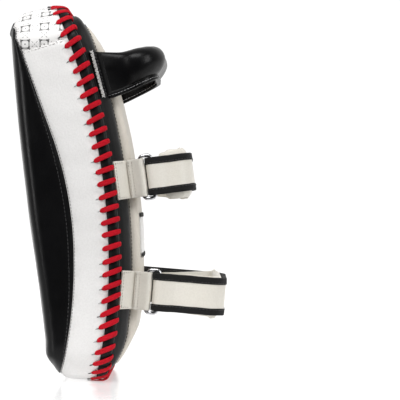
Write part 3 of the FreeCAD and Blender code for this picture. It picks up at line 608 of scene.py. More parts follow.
def motif_leather(name, base, ink):
    """White leather printed with small plain framed squares, joined by dashed slanting lines."""
    make = Nodes(name)
    place = make.place()
    around = make.node("ShaderNodeAttribute", attribute_name="around").outputs["Vector"]
    pitch = (PRINT_PITCH,) * 3
    cell = around
    for step in ("MODULO", "ADD", "MODULO"):
        cell = make.node("ShaderNodeVectorMath", {0: cell, 1: pitch}, operation=step).outputs[0]
    parts = make.node("ShaderNodeSeparateXYZ", {0: cell})
    half = PRINT_PITCH / 2
    across = make.math("ABSOLUTE", make.math("SUBTRACT", parts.outputs["X"], half))
    deep = make.math("ABSOLUTE", make.math("SUBTRACT", parts.outputs["Y"], half))
    farther = make.math("MAXIMUM", across, deep)
    nearer = make.math("MINIMUM", across, deep)
    outside, inside, side_ink, dot = (PRINT_PITCH * part for part in (0.25, 0.165, 0.10, 0.03))
    frame_outer = make.math("LESS_THAN", farther, outside)
    frame_inner = make.math("GREATER_THAN", farther, inside)
    square = make.math("MULTIPLY", frame_outer, frame_inner)
    corner = make.math("GREATER_THAN", nearer, side_ink)
    square = make.math("MULTIPLY", square, make.spread(corner, 0.0, 1.0, 0.55, 1.0))
    core = make.math("LESS_THAN", farther, dot)
    slope = make.math("ABSOLUTE", make.math("SUBTRACT", make.math("ADD", across, deep), half))
    line = make.math("LESS_THAN", slope, LINE_HALF)
    dash = make.math("PINGPONG", make.math("SUBTRACT", across, deep), DASH_STEP)
    dash = make.math("LESS_THAN", dash, DASH_LENGTH)
    line = make.math("MULTIPLY", line, dash)
    mark = make.math("ADD", make.math("ADD", square, core), line, True)
    worn = make.noise(place, 900.0, 3.0)
    mark = make.math("MULTIPLY", mark, make.spread(worn, 0.25, 0.45, 0.75, 1.0))
    grain = make.cells(place, 620.0, "SMOOTH_F1")
    cloudy = make.noise(place, 25.0, 3.0)
    tone = make.mix(make.spread(cloudy, 0.35, 0.7, 0.0, 1.0), base, tuple(0.94 * c for c in base))
    # Painted shade: the colour is darkened toward grey where the seam mark is high, at seams, lace puckers
    # and the top seam's groove.
    tone = make.mix(make.math("MULTIPLY", make.seam(), 0.35), tone, (0.38, 0.36, 0.34))
    tone = make.mix(make.math("MULTIPLY", mark, 0.9), tone, ink)
    normal = make.bump(grain, 0.00007, 0.6)
    rough = make.spread(make.noise(place, 60.0, 3.0), 0.3, 0.7, 0.30, 0.42)
    return make.done(Base_Color=tone, Roughness=rough, Normal=normal, Coat_Weight=0.15,
                     Coat_Roughness=0.2)


# The top's print, in metres: pitch of its squares, and the dashed lines between them.
PRINT_PITCH = 0.0192
LINE_HALF = 0.00032
DASH_STEP = 0.0026
DASH_LENGTH = 0.0014
BLACK_LEATHER = leather("black_leather", (0.0025, 0.0025, 0.0028), (0.0045, 0.0045, 0.005),
                        (0.0012, 0.0012, 0.0014), (0.28, 0.38), 0.00004, 0.00016, coat=0.04,
                        specular=0.15)
BACK_LEATHER = leather("back_leather", (0.0035, 0.0035, 0.0038), (0.0060, 0.0060, 0.0064),
                       (0.0015, 0.0015, 0.0018), (0.34, 0.46), 0.00005, 0.0002, coat=0.04,
                       specular=0.22)
WHITE_LEATHER = leather("white_leather", (0.84, 0.83, 0.82), (0.80, 0.79, 0.78),
                        (0.42, 0.40, 0.385), (0.30, 0.44), 0.00006, 0.00035, coat=0.15)
CREAM_LEATHER = leather("cream_leather", (0.78, 0.75, 0.68), (0.73, 0.695, 0.62),
                        (0.40, 0.36, 0.30), (0.36, 0.50), 0.00007, 0.0003, coat=0.08)
PANEL_CREAM = leather("panel_leather", (0.74, 0.69, 0.61), (0.68, 0.63, 0.55),
                      (0.36, 0.32, 0.27), (0.42, 0.56), 0.00008, 0.0003)
PRINTED_LEATHER = motif_leather("printed_leather", (0.86, 0.85, 0.84), (0.008, 0.008, 0.009))
RED_LACE = webbing("red_lace", (0.80, 0.006, 0.024), (0.42, 0.002, 0.010), 0.0011, 0.66, 0.0,
                   specular=0.15)
BLACK_WEBBING = webbing("black_webbing", (0.007, 0.0065, 0.007), (0.002, 0.002, 0.0022), 0.0013,
                        0.75, 0.08)
BINDING_TAPE = leather("binding_leather", (0.0035, 0.0035, 0.0038), (0.006, 0.006, 0.0064),
                       (0.0015, 0.0015, 0.0018), (0.42, 0.55), 0.00006, 0.0003, specular=0.22)
WHITE_THREAD = thread("white_thread", (0.78, 0.77, 0.75), (0.55, 0.53, 0.50))
GREY_THREAD = thread("grey_thread", (0.42, 0.42, 0.43), (0.20, 0.20, 0.21))
BLACK_THREAD_AND_HOLE_SHADE = thread("black_thread_and_hole_shade", (0.006, 0.006, 0.007), (0.015, 0.015, 0.016), 0.45)
CREAM_THREAD = thread("cream_thread", (0.62, 0.585, 0.52), (0.42, 0.39, 0.33))
LOOP_PILE = pile("loop_pile", (0.020, 0.020, 0.021), (0.006, 0.006, 0.0065), 700.0, 0.0006)
HOOK_TAPE = pile("hook_tape", (0.016, 0.016, 0.017), (0.004, 0.004, 0.0045), 480.0, 0.0008)
STEEL = steel("plated_steel")


def dress(piece, material, body="pad", stands_for=()):
    """Gives a piece its material and body, and hides the CAD nodes it stands for."""
    piece.data.materials.clear()
    piece.data.materials.append(material)
    if body:
        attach(piece, body)
    if stands_for:
        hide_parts(*stands_for)
    return piece


def sew(name, runs, material):
    """A piece of stitches in one thread."""
    return dress(stitch_piece(name, runs), material)


# ---------------------------------------------------------------- front cover

PAD = Outline(PAD_HALF, 0.0, PAD_HEIGHT, CORNER, 116, 42, 26)
WALK = PAD.distance()
PITCH = WALK[-1] / STITCH_COUNT


def pad_row(inset, y, out=0.0):
    """A row of points round the pad at an inset and depth, `out` along the outline's normal."""
    x, z, nx, nz = PAD.at(inset)
    y = np.asarray(y(z) if callable(y) else y, float) * np.ones_like(x)
    return np.stack([x + nx * out, y, lowered(z + nz * out, y)], axis=1)


def shell_normals():
    _, _, nx, nz = PAD.at(0.0)
    return np.stack([nx, 0 * nx, nz], axis=1)


def build_front():
    """Black cover: tucked under at its seam, up the sides, round the edge and over the face."""
    _, z, _, _ = PAD.at(0.0)
    seam = profile_y(SEAM, z)
    front = profile_y(FRONT, z) + 2.4
    depth = np.maximum(seam - front, 3.2)
    round_y = np.clip(depth * 0.8, 2.4, FRONT_ROUND)
    rows = [pad_row(5.0, seam + 2.6), pad_row(3.0, seam + 1.2), pad_row(1.9, seam + 0.1)]
    marks = [1.0, 1.0, 1.0]
    for share in np.linspace(0.08, 1.0, 9):
        y = seam - share * (depth - round_y)
        pull = 1.9 * (1 - share) ** 4
        rows.append(pad_row(0.0, y, -pull + 0.9 * math.sin(math.pi * share) * np.minimum(depth / 40, 1)))
        marks.append((1 - share) ** 3)
    for turn in np.linspace(0, math.pi / 2, 10)[1:]:
        inset = FRONT_ROUND * (1 - math.cos(turn))
        y = (seam - depth) + round_y * (1 - math.sin(turn))
        row_x, row_z, _, _ = PAD.at(inset)
        rows.append(np.stack([row_x, y, lowered(row_z, y)], axis=1))
        marks.append(0.0)
    edge_y = seam - depth
    for share in np.linspace(0, 1, 24)[1:]:
        inset = FRONT_ROUND + (PAD_HALF - FRONT_ROUND) * share ** 0.85
        row_x, row_z, _, _ = PAD.at(inset)
        reach = inset - FRONT_ROUND
        crown = (profile_y(FRONT, row_z) + 2.4 * math.exp(-reach / 11.0)
                 - 1.4 * (1 - math.exp(-reach / 26.0)))
        blend = math.exp(-reach / 6.0)
        y = crown * (1 - blend) + (crown + (edge_y - front)) * blend
        rows.append(np.stack([row_x, y, lowered(row_z, y)], axis=1))
        marks.append(0.0)
    rows = np.asarray(rows)
    marks = np.repeat(np.asarray(marks)[:, None], rows.shape[1], axis=1)
    away = shell_normals()[None] * 0.6 + np.array([0, -0.4, 0])
    wave = ripple(rows, 46.0, 1) * 0.55
    wave = wave + ripple(rows * np.array([1, 1, 2.2]), 16.0, 2) * 0.22 * (0.2 + marks)
    wave = wave * np.clip(depth / 30.0, 0.2, 1.0)[None]
    rows[3:-1] = rows[3:-1] + (away * wave[..., None])[3:-1]
    points, faces, _ = grid(rows, closed=True)
    piece = new_piece("front_cover_leather", points, faces, marks=marks.ravel())
    weld(piece)
    subdivide(piece)
    dress(piece, BLACK_LEATHER,
          stands_for=("front_cover", "impact_foam", "middle_foam"))
    return rows


FRONT_ROWS = build_front()

# ---------------------------------------------------------------- white gusset and printed top


def build_gusset():
    """The leather from the front seam to the lacing, cut at the top seam into its two pieces."""
    x, z, _, _ = PAD.at(0.0)
    seam = profile_y(SEAM, z)
    lace = lacing_y(z)
    rows = [pad_row(4.6, seam - 1.6), pad_row(2.8, seam - 0.2)]
    fades = [1.0, 1.0]
    width = lace - seam
    for share in np.linspace(0, 1, 26):
        y = seam + share * width
        from_seam = share * width
        from_lace = (1 - share) * width
        pull = 1.7 * np.exp(-from_seam / 2.4) + 0.9 * np.exp(-from_lace / 3.0)
        crown = 1.5 * np.sin(math.pi * share) ** 0.8 * np.clip(width / 45.0, 0.4, 1.0)
        knot = (0.5 + 0.5 * np.cos((WALK[:-1] / PITCH - 0.5 + (y - lace) * STITCH_SLOPE / PITCH)
                                   * 2 * math.pi)) ** 2
        pucker = 0.8 * knot * np.exp(-((from_lace - 4.0) / 5.0) ** 2)
        rows.append(pad_row(0.0, y, crown - pull - pucker))
        fades.append(np.exp(-from_seam / 4.0) + 0.7 * np.exp(-from_lace / 4.5) * (0.4 + 0.6 * knot))
    rows.append(pad_row(3.0, lace + 0.8))
    rows.append(pad_row(6.0, lace + 1.0))
    fades += [1.0, 1.0]
    rows = np.asarray(rows)
    marks = np.stack([np.ones_like(x) * fade for fade in fades])
    gap = rows[..., 2] - top_seam_z(rows[..., 1])
    normals = shell_normals()[None]
    groove = 1.1 * np.exp(-(gap / 2.2) ** 2)
    wave = ripple(rows * np.array([1, 1, 1.6]), 30.0, 5) * 0.5
    tuck = ripple(rows * np.array([0.6, 0.5, 2.4]), 9.0, 6) * 0.34 * np.clip(marks + 0.12, 0, 1)
    rows = rows + normals * (wave + tuck - groove)[..., None] * np.sin(
        np.pi * np.clip((np.arange(len(rows)) - 1) / (len(rows) - 2), 0, 1))[:, None, None] ** 0.3
    marks = np.clip(marks + 0.8 * np.exp(-(gap / 1.6) ** 2), 0, 1)
    points, faces, _ = grid(rows, closed=True)
    around = np.broadcast_to(WALK[:-1], rows.shape[:2])
    lay = np.stack([around, rows[..., 1], 0 * around], axis=-1).reshape(-1, 3)
    above = gap.ravel() > 0
    for name, wanted, material, slot, nodes in (
        ("side_gusset_leather", False, WHITE_LEATHER, "white_leather", ("side_gusset", "dense_foam")),
        ("top_gusset_leather", True, PRINTED_LEATHER, "white_leather", ("top_gusset",)),
    ):
        chosen = [face for face in faces if (sum(above[i] for i in face) >= 2) == wanted]
        used = sorted({i for face in chosen for i in face})
        index = {old: new for new, old in enumerate(used)}
        moved = [[index[i] for i in face] for face in chosen]
        piece = new_piece(name, points[used], moved, marks=marks.ravel()[used], lay=lay[used])
        subdivide(piece)
        dress(piece, material, stands_for=nodes)
    return rows


GUSSET_ROWS = build_gusset()


def build_seam_threads():
    """Stitches on both sides of the front seam, and below the top seam on both flanks."""
    normals = shell_normals()
    close = lambda row: np.vstack([row, row[:1]])
    white_side = GUSSET_ROWS[2] * 0.25 + GUSSET_ROWS[3] * 0.75
    runs = [stitch_strip(close(row) + close(normals) * 0.05, close(normals), seam)
            for row, seam in ((white_side, "gusset"), (FRONT_ROWS[4], "front"))]
    sew("front_seam_stitching", runs, BLACK_THREAD_AND_HOLE_SHADE)
    below = 2.6
    lines = []
    for side in (1, -1):
        spots = []
        faces = []
        for row in GUSSET_ROWS[3:-3]:
            gap = row[:, 2] - top_seam_z(row[:, 1]) + below
            on_side = np.where(row[:, 0] * side > PAD_HALF - CORNER * 0.9)[0]
            best = on_side[np.argmin(np.abs(gap[on_side]))]
            spots.append(row[best])
            faces.append(normals[best])
        spots = np.asarray(spots)
        spots[:, 2] = top_seam_z(spots[:, 1]) - below
        lines.append(stitch_strip(spots, faces, "top"))
    sew("top_seam_stitching", lines, WHITE_THREAD)


build_seam_threads()

# ---------------------------------------------------------------- binding and lace

BOUND = Outline(PAD_HALF, 0.0, PAD_HEIGHT, CORNER, 168, 62, 38)
BOUND_WALK = BOUND.distance()


def edge_frames(x, z, nx, nz):
    """Spot on the lacing curve at the outline, outward normal, and the way over the binding."""
    angle = lacing_angle(z)
    spot = np.stack([x, lacing_y(z), z], axis=1)
    normal = np.stack([nx, 0 * nx, nz], axis=1)
    outward = np.stack([0 * nx, np.cos(angle), np.sin(angle)], axis=1)
    over = unit(outward - normal * np.sum(outward * normal, axis=1, keepdims=True))
    return spot, normal, over


def build_binding():
    """The black edge roll, pinched a little under every stitch of the lace."""
    spot, normal, over = edge_frames(*BOUND.at(0.0))
    columns = []
    for angle in ring_angles(16):
        out = squared(math.cos(angle), 0.8)
        side = squared(math.sin(angle), 0.8)
        shift = side * BINDING_HALF * STITCH_SLOPE
        phase = (BOUND_WALK[:-1] - shift) / PITCH - 0.5
        pinch = (0.5 + 0.5 * np.cos(phase * 2 * math.pi)) ** 1.5
        swell_here = 1.0 - 0.17 * pinch
        columns.append(
            spot
            + over * ((BINDING_HALF + side * (BINDING_HALF + 0.5) * (0.5 + 0.5 * swell_here))[:, None])
            + normal * ((-BINDING_INSET + out * 4.5 * swell_here)[:, None])
        )
    rows = np.asarray(columns)
    rows = rows + ripple(rows, 7.0, 9)[..., None] * 0.18
    rows = np.transpose(rows, (1, 0, 2))
    rows = np.concatenate([rows, rows[:1]])
    points, faces, _ = grid(rows, closed=True)
    piece = new_piece("edge_binding_leather", points, faces)
    weld(piece)
    dress(piece, BINDING_TAPE, stands_for=("edge_binding",))


build_binding()


# A stitch's line over the binding: distance over it from the lacing curve, and height off it.
STITCH_LINE = curve_through(
    [(-6.0, -2.6), (-5.5, -0.6), (-4.2, 0.65), (-0.8, 1.0), (3.0, 0.95), (6.8, 0.7), (10.0, -0.4),
     (12.0, -2.2), (12.7, -4.4), (12.0, -6.8)], 24)
LACE_HALF_THICK = 0.95
LACE_HOLE_AT = -6.7
# Rings of the dark disc of painted shade at each lace hole, from outside in: radius, and height off the
# leather.
HOLE_SHADE_RINGS = ((2.3, -1.6), (2.2, 0.0), (1.7, 0.4), (1.15, 0.1), (0.35, -0.5))


def rim_spot(at, normal=None):
    """Spot, outward normal and way over the binding, at a length walked round the rim."""
    x, z, nx, nz = (np.interp(at, BOUND_WALK, np.append(part, part[0])) for part in BOUND.at(0.0))
    if normal is None:
        normal = unit(np.array([nx, 0.0, nz]))
    return [part[0] for part in edge_frames(np.array([x]), np.array([z]), normal[:1], normal[2:])]


def stitch_lean(height, index):
    """Stitches lean most at the foot and least at mid height, and no two quite alike."""
    lean = 0.54 - 0.30 * smooth(height, 60.0, 190.0) + 0.10 * smooth(height, 240.0, 370.0)
    return lean + 0.14 * noise.noise(Vector((index * 0.57, 9.7, 2.0)))


def build_lace():
    """Flat lace: out of a hole in the white leather, over the binding and down behind it; a dark disc at
    each hole is painted shade.
    """
    around = WALK[-1]
    gathered = Parts()
    hole_shades = Parts()
    turn = ring_angles(10)
    flat = squared(np.cos(turn), 0.75)
    thick = squared(np.sin(turn), 0.9)
    for index in range(STITCH_COUNT):
        wobble = noise.noise(Vector((index * 0.73, 4.1, 0)))
        middle = around * (index + 0.5) / STITCH_COUNT + wobble * 0.9
        lean = stitch_lean(rim_spot(middle % around)[0][2], index)
        centre = []
        outward = []
        widths = []
        for o, h in STITCH_LINE:
            spot, normal, over = rim_spot((middle + (o - BINDING_HALF) * lean) % around)
            centre.append(spot + over * o + normal * h)
            outward.append((over, normal))
            widths.append(1.4 + 1.4 * smooth(o, -6.2, -2.4) - 0.4 * smooth(o, 10.0, 12.8))
        centre = np.asarray(centre)
        along = unit(np.gradient(centre, axis=0))
        slope = np.gradient(STITCH_LINE, axis=0)
        rows = []
        for r in range(len(centre)):
            over, normal = outward[r]
            facing = unit(over * -slope[r][1] + normal * slope[r][0])
            side = unit(np.cross(along[r], facing))
            facing = np.cross(side, along[r])
            rows.append(centre[r] + side * (flat * widths[r])[:, None]
                        + facing * (thick * LACE_HALF_THICK)[:, None])
        u = list(np.concatenate([flat * 2.7, [2.7]]))
        gathered.add(grid(np.asarray(rows), closed=True, u=u, v=list(walked(centre)), caps=True))
        normal = outward[1][1]
        # Painted shade: a small dark dished disc in black thread material where the lace goes into the
        # leather.
        spot, eye_normal, eye_over = rim_spot((middle + (LACE_HOLE_AT - BINDING_HALF) * lean) % around, normal)
        eye = spot + eye_over * LACE_HOLE_AT + eye_normal * 0.5
        side = np.cross(along[1], normal)
        flat_way = unit(along[1] - normal * np.dot(along[1], normal))
        shade_rings = [eye + radius * (np.cos(turn)[:, None] * flat_way * 1.15
                                + np.sin(turn)[:, None] * side * 0.8) + normal * height
                for radius, height in HOLE_SHADE_RINGS]
        hole_shades.add(grid(np.asarray(shade_rings), closed=True, u=list(np.linspace(0, 6, 11)),
                      v=list(np.linspace(0, 2, 5)), caps=True))
    piece = gathered.piece("lace_cord")
    weld(piece, 0.0)
    subdivide(piece)
    dress(piece, RED_LACE, stands_for=("lace",))
    holes = hole_shades.piece("lace_hole_shade")
    weld(holes, 0.0)
    dress(holes, BLACK_THREAD_AND_HOLE_SHADE)


build_lace()

# ---------------------------------------------------------------- padded back

BACK = Outline(PAD_HALF, 0.0, PAD_HEIGHT, CORNER, 100, 36, 22)


def bevel_rise(x):
    """Height of the back above the lacing curve, from its sloping margins."""
    edge = PAD_HALF - BACK_INSET
    slope = (BACK_RISE - BEVEL_START) / BEVEL_WIDTH
    return BEVEL_START + (edge - np.abs(x)) * slope


def margin_y(x, z):
    """Y of the padded back at a spot: sloping margins, soft knees and rounded ends."""
    rise = soft_min(bevel_rise(x), np.full_like(x, BACK_RISE), 5.0)
    return soft_min(lacing_y(z, rise), back_y(z, 0.0), 4.0)


def build_back():
    """Black back: turned in at the lacing, up its sloping margins and across under the panel."""
    rows = []
    marks = []
    for rise in (-2.0, 3.0, 6.0):
        x, z, _, _ = BACK.at(BACK_INSET + 0.3)
        top = margin_y(x, z)
        base = lacing_y(z)
        rows.append(np.stack([x, np.minimum(base + rise, top - 3.0), z], axis=1))
        marks.append(1.0)
    for turn in np.linspace(0.15, math.pi / 2, 7):
        inset = BACK_INSET + 4.5 * (1 - math.cos(turn))
        x, z, _, _ = BACK.at(inset)
        y = margin_y(x, z) - 4.0 * (1 - math.sin(turn))
        rows.append(np.stack([x, y, z], axis=1))
        marks.append(0.5 * (1 - turn / 1.57))
    for inset in list(np.linspace(BACK_INSET + 4.5, 44.0, 18)[1:]) + list(np.linspace(44, 98.0, 10)[1:]):
        x, z, _, _ = BACK.at(inset)
        near_panel = smooth(-np.abs(inset - 35.0), -9.0, 0.0)
        ends = smooth(z, 14.0, 64.0) * (1 - smooth(z, 314.0, 369.0))
        swell = 1.6 * math.sin(math.pi * np.clip((inset - BACK_INSET) / 26.0, 0, 1)) * ends
        y = margin_y(x, z) + swell - 0.9 * near_panel
        rows.append(np.stack([x, y, z], axis=1))
        marks.append(float(near_panel) * 0.7)
    rows = np.asarray(rows)
    marks = np.repeat(np.asarray(marks)[:, None], rows.shape[1], axis=1)
    wave = ripple(rows, 34.0, 11) * 0.5 + ripple(rows * np.array([1, 1, 2.0]), 11.0, 12) * 0.22
    rows[4:-1, :, 1] += wave[4:-1]
    points, faces, _ = grid(rows, closed=True, flip=True)
    piece = new_piece("back_cover_leather", points, faces, marks=marks.ravel())
    weld(piece)
    subdivide(piece)
    dress(piece, BACK_LEATHER, stands_for=("back_cover", "back_foam"))


build_back()

PANEL = Outline(PANEL_HALF, PANEL_LOW, PANEL_HIGH, PANEL_CORNER, 96, 30, 16)


def panel_y(x, z):
    """Y of the forearm panel's surface, which sinks toward its two ends."""
    ends = smooth(z, PANEL_LOW, PANEL_LOW + END_TAPER) * (1 - smooth(z, PANEL_HIGH - END_TAPER, PANEL_HIGH))
    crown = 1.0 * (1 - (np.abs(x) / PANEL_HALF) ** 3)
    return back_y(z, 0.0) + 1.8 + (PANEL_RISE - 1.8 + crown) * (0.2 + 0.8 * ends)


def build_panel():
    """Cream panel: a rounded wall round its edge, a slightly crowned face, and its seam."""
    rows = []
    marks = [1.0, 0.9]
    for inset, sink in ((0.8, 3.0), (0.0, 0.6)):
        x, z, _, _ = PANEL.at(inset)
        rows.append(np.stack([x, margin_y(x, z) - sink, z], axis=1))
    for turn in np.linspace(0.0, math.pi / 2, 7):
        inset = 4.6 * (1 - math.cos(turn))
        x, z, _, _ = PANEL.at(inset)
        low = np.minimum(margin_y(x, z) + 0.6, panel_y(x, z) - 0.4)
        high = panel_y(x, z)
        y = low + (high - low) * (0.15 + 0.85 * math.sin(turn))
        rows.append(np.stack([x, y, z], axis=1))
        marks.append(0.35 * (1 - math.sin(turn)))
    for inset in list(np.linspace(4.6, 30.0, 12)[1:]) + list(np.linspace(30.0, PANEL_HALF, 9)[1:]):
        x, z, _, _ = PANEL.at(inset)
        y = panel_y(x, z) + 0.5 * math.sin(math.pi * min(inset / 20.0, 1.0))
        rows.append(np.stack([x, y, z], axis=1))
        marks.append(0.0)
    rows = np.asarray(rows)
    marks = np.repeat(np.asarray(marks)[:, None], rows.shape[1], axis=1)
    wave = ripple(rows, 40.0, 14) * 0.45 + ripple(rows * np.array([1, 1, 1.7]), 12.0, 15) * 0.15
    rows[4:-1, :, 1] += wave[4:-1]
    points, faces, _ = grid(rows, closed=True, flip=True)
    piece = new_piece("forearm_panel_leather", points, faces, marks=marks.ravel())
    weld(piece)
    subdivide(piece)
    dress(piece, PANEL_CREAM, stands_for=("forearm_panel", "forearm_foam"))
    x, z, nx, nz = PANEL.at(-2.4)
    y = margin_y(x, z) + 0.3
    line = np.stack([x, y, z], axis=1)
    facing = np.stack([0.45 * nx, 0.9 * np.ones_like(x), 0.25 * nz], axis=1)
    run = stitch_strip(np.vstack([line, line[:1]]), np.vstack([facing, facing[:1]]), "panel")
    sew("panel_stitching", [run], BLACK_THREAD_AND_HOLE_SHADE)


build_panel()


def build_patch():
    """A plain sewn patch with dark bound ends, lying on the forearm panel."""
    shape = Outline(PATCH_HALF, PATCH_LOW, PATCH_HIGH, 4.0, 16, 30, 5)
    rows = []
    for inset, lift in ((0.6, -1.4), (0.0, 0.1), (0.3, 0.75), (1.2, 1.1), (3.0, 1.15), (5.0, 1.05),
                        (8.0, 1.1), (12.0, 1.15), (16.0, 1.15), (20.0, 1.15), (23.0, 1.15)):
        x, z, _, _ = shape.at(inset)
        rows.append(np.stack([x, panel_y(x, z) + lift + 0.3, z], axis=1))
    points, faces, _ = grid(np.asarray(rows), closed=True, flip=True)
    piece = new_piece("plain_patch_leather", points, faces, marks=np.zeros(len(points)))
    weld(piece)
    dress(piece, WHITE_LEATHER, stands_for=("plain_patch",))
    bars = Parts()
    for middle in (PATCH_LOW + 2.2, PATCH_HIGH - 2.2):
        across = np.linspace(-PATCH_HALF + 2.0, PATCH_HALF - 2.0, 40)
        ring = []
        for high, lift in ((-2.4, 1.0), (-2.2, 2.0), (-1.0, 2.25), (1.0, 2.25), (2.2, 2.0), (2.4, 1.0)):
            z = np.full_like(across, middle + high)
            ring.append(np.stack([across, panel_y(across, z) + lift, z], axis=1))
        bars.add(grid(np.asarray(ring), u=list(across + 50), v=[0, 1, 2, 4, 5, 6], flip=True))
    dress(bars.piece("patch_end_tapes"), BLACK_WEBBING)


build_patch()


# ---------------------------------------------------------------- local frames and bands


class Local:
    """x across, y outward from the back, z up along it."""

    def __init__(self, height, lean):
        self.origin = np.array([0.0, float(lacing_y(height)), height])
        turn = math.radians(lean)
        self.out = np.array([0.0, math.cos(turn), math.sin(turn)])
        self.up = np.array([0.0, -math.sin(turn), math.cos(turn)])

    def point(self, x, y, z):
        x, y, z = np.broadcast_arrays(*(np.asarray(v, float) for v in (x, y, z)))
        return (self.origin + x[..., None] * np.array([1.0, 0, 0]) + y[..., None] * self.out
                + z[..., None] * self.up)

    def beside(self, spot, side, lift, z):
        """Points at height z, `lift` to the side of a spot or line in the local x-y plane."""
        return self.point(spot[..., 0] + side[..., 0] * lift, spot[..., 1] + side[..., 1] * lift, z)

    def direction(self, x, y):
        return self.point(x, y, 0) - self.origin


UPPER = Local(201.6, 7.5)
LOWER = Local(94.6, -4.8)
HANDLE = Local(309.6, 15.0)


def trace(path, step=1.6):
    """Evenly spaced x, y points on a path of (x, y, bend radius) corners."""
    dense = []
    for i, (x, y, bend) in enumerate(path):
        here = np.array([x, y], float)
        if i in (0, len(path) - 1) or not bend:
            dense.append(here)
            continue
        before = unit(here - np.array(path[i - 1][:2], float))
        after = unit(np.array(path[i + 1][:2], float) - here)
        turn = math.acos(np.clip(np.dot(before, after), -1, 1))
        back = bend * math.tan(turn / 2)
        first = here - before * back
        cross = before[0] * after[1] - before[1] * after[0]
        side = np.array([-before[1], before[0]]) * math.copysign(1.0, cross)
        centre = first + side * bend
        for share in np.linspace(0, 1, max(6, int(turn * 12))):
            angle = share * turn * math.copysign(1.0, cross)
            arm = first - centre
            dense.append(centre + np.array([arm[0] * math.cos(angle) - arm[1] * math.sin(angle),
                                            arm[0] * math.sin(angle) + arm[1] * math.cos(angle)]))
    dense = np.asarray(dense)
    length = np.linalg.norm(np.diff(dense, axis=0), axis=1).sum()
    return resample(dense, max(4, int(length / step) + 1))


def ribbon(frame_, line, reach, half_thick, half_wide, middle=0.0, sides=24, power=0.3):
    """A closed strip along a line in the local x-y plane; sizes may vary along its length."""
    count = len(line)
    half_thick = np.broadcast_to(half_thick, (count,)).astype(float)
    half_wide = np.broadcast_to(half_wide, (count,)).astype(float)
    _, side = ways(line)
    turn = (np.arange(sides) + 0.5) / sides * 2 * math.pi
    wide = squared(np.cos(turn), power)
    thick = squared(np.sin(turn), power)
    rows = [frame_.beside(line[r], side[r], thick * half_thick[r], middle + wide * half_wide[r])
            for r in range(count)]
    edge = np.concatenate([wide * half_wide.max(), [wide[0] * half_wide.max()]])
    return grid(np.asarray(rows), closed=True, u=list(edge + 40), v=list(reach + 5), caps=True)


def band_piece(name, made):
    piece = new_piece(name, *made)
    weld(piece, 0.0)
    subdivide(piece)
    return piece


# ---------------------------------------------------------------- handle

GRIP_R = 14.0
GRIP_REACH = 73.5
GRIP_BEND = 24.0
GRIP_SPAN = 38.0
LEG_FOOT = (72.0, 20.5)
FOOT_SHIFT = -3.5
FOOT_HALF = 23.0


def handle_line(count):
    """Centre line of the handle from foot to foot, in its local x-y plane."""
    corner = GRIP_SPAN + GRIP_BEND
    path = [(LEG_FOOT[0], LEG_FOOT[1], 0), (corner + 2.0, 44.0, 40.0), (corner, GRIP_REACH, GRIP_BEND),
            (-corner, GRIP_REACH, GRIP_BEND), (-corner - 2.0, 44.0, 40.0), (-LEG_FOOT[0], LEG_FOOT[1], 0)]
    return resample(trace(path, 1.0)[0], count)


def hem_low(y):
    """Local height of the hem's lower edge at a distance from the back."""
    return -29.5 + 10.0 * smooth(y, 20.0, 92.0)


HEM_DEPTH = 5.2


def build_handle():
    """Leather folded over a round core and closed below in a hem.

    Its section is drop-shaped, and it flares to its feet.
    """
    count = 120
    line, reach = handle_line(count)
    _, side = ways(line)
    from_foot = np.minimum(reach, reach[-1] - reach)
    in_plane = 3.4 + (GRIP_R - 3.4) * smooth(from_foot, 3.0, 44.0)
    upper = 20.0 + (GRIP_R - 20.0) * smooth(from_foot, 0.0, 30.0) ** 0.8
    lower = -(hem_low(line[:, 1]) + HEM_DEPTH)
    half = 15
    arc = np.linspace(0, math.pi, half * 2 + 1)[:-1]
    neck = 1.9
    rows = []
    for r in range(count):
        offset = list(in_plane[r] * squared(np.cos(arc), 0.9))
        high = list(upper[r] * np.sin(arc) ** 0.95)
        for sign, shares in ((-1, np.linspace(0, 1, half)), (1, np.linspace(1, 0, half)[:-1])):
            for q in shares:
                offset.append(sign * (neck + (in_plane[r] - neck) * math.cos(q * math.pi / 2) ** 0.85))
                high.append(-lower[r] * q)
        offset = np.asarray(offset)
        high = np.asarray(high)
        bend = smooth(abs(line[r, 0]), 36.0, 50.0) * smooth(line[r, 1], 44.0, 62.0)
        inner = np.clip(-offset / GRIP_R, 0, 1)
        offset = offset - 0.7 * bend * inner * np.sin(reach[r] * 0.95 + high * 0.08)
        rows.append(HANDLE.beside(line[r], side[r], offset, high))
    rows = np.asarray(rows)
    wave = ripple(rows * np.array([1, 1, 1.3]), 24.0, 21) * 0.8 + ripple(rows, 9.0, 22) * 0.2
    near_foot = (1 - smooth(from_foot, 6.0, 26.0))[:, None]
    fold = ripple(rows * np.array([0.4, 0.4, 2.2]), 13.0, 24) * 0.7 * near_foot
    centre = HANDLE.point(line[:, 0], line[:, 1], np.zeros(count))[:, None]
    rows = rows + unit(rows - centre) * (wave + fold)[..., None]
    sides = rows.shape[1]
    u = list(np.linspace(0, 90, sides + 1))
    points, faces, uv = grid(rows, closed=True, u=u, v=list(reach), caps=True)
    marks = np.repeat((1 - smooth(from_foot, 2.0, 14.0))[:, None], sides, axis=1)
    piece = new_piece("handle_leather", points, faces, uv, marks=marks.ravel() * 0.6)
    weld(piece, 0.0)
    subdivide(piece)
    dress(piece, BLACK_LEATHER, stands_for=("handle_cover", "handle_core"))


build_handle()


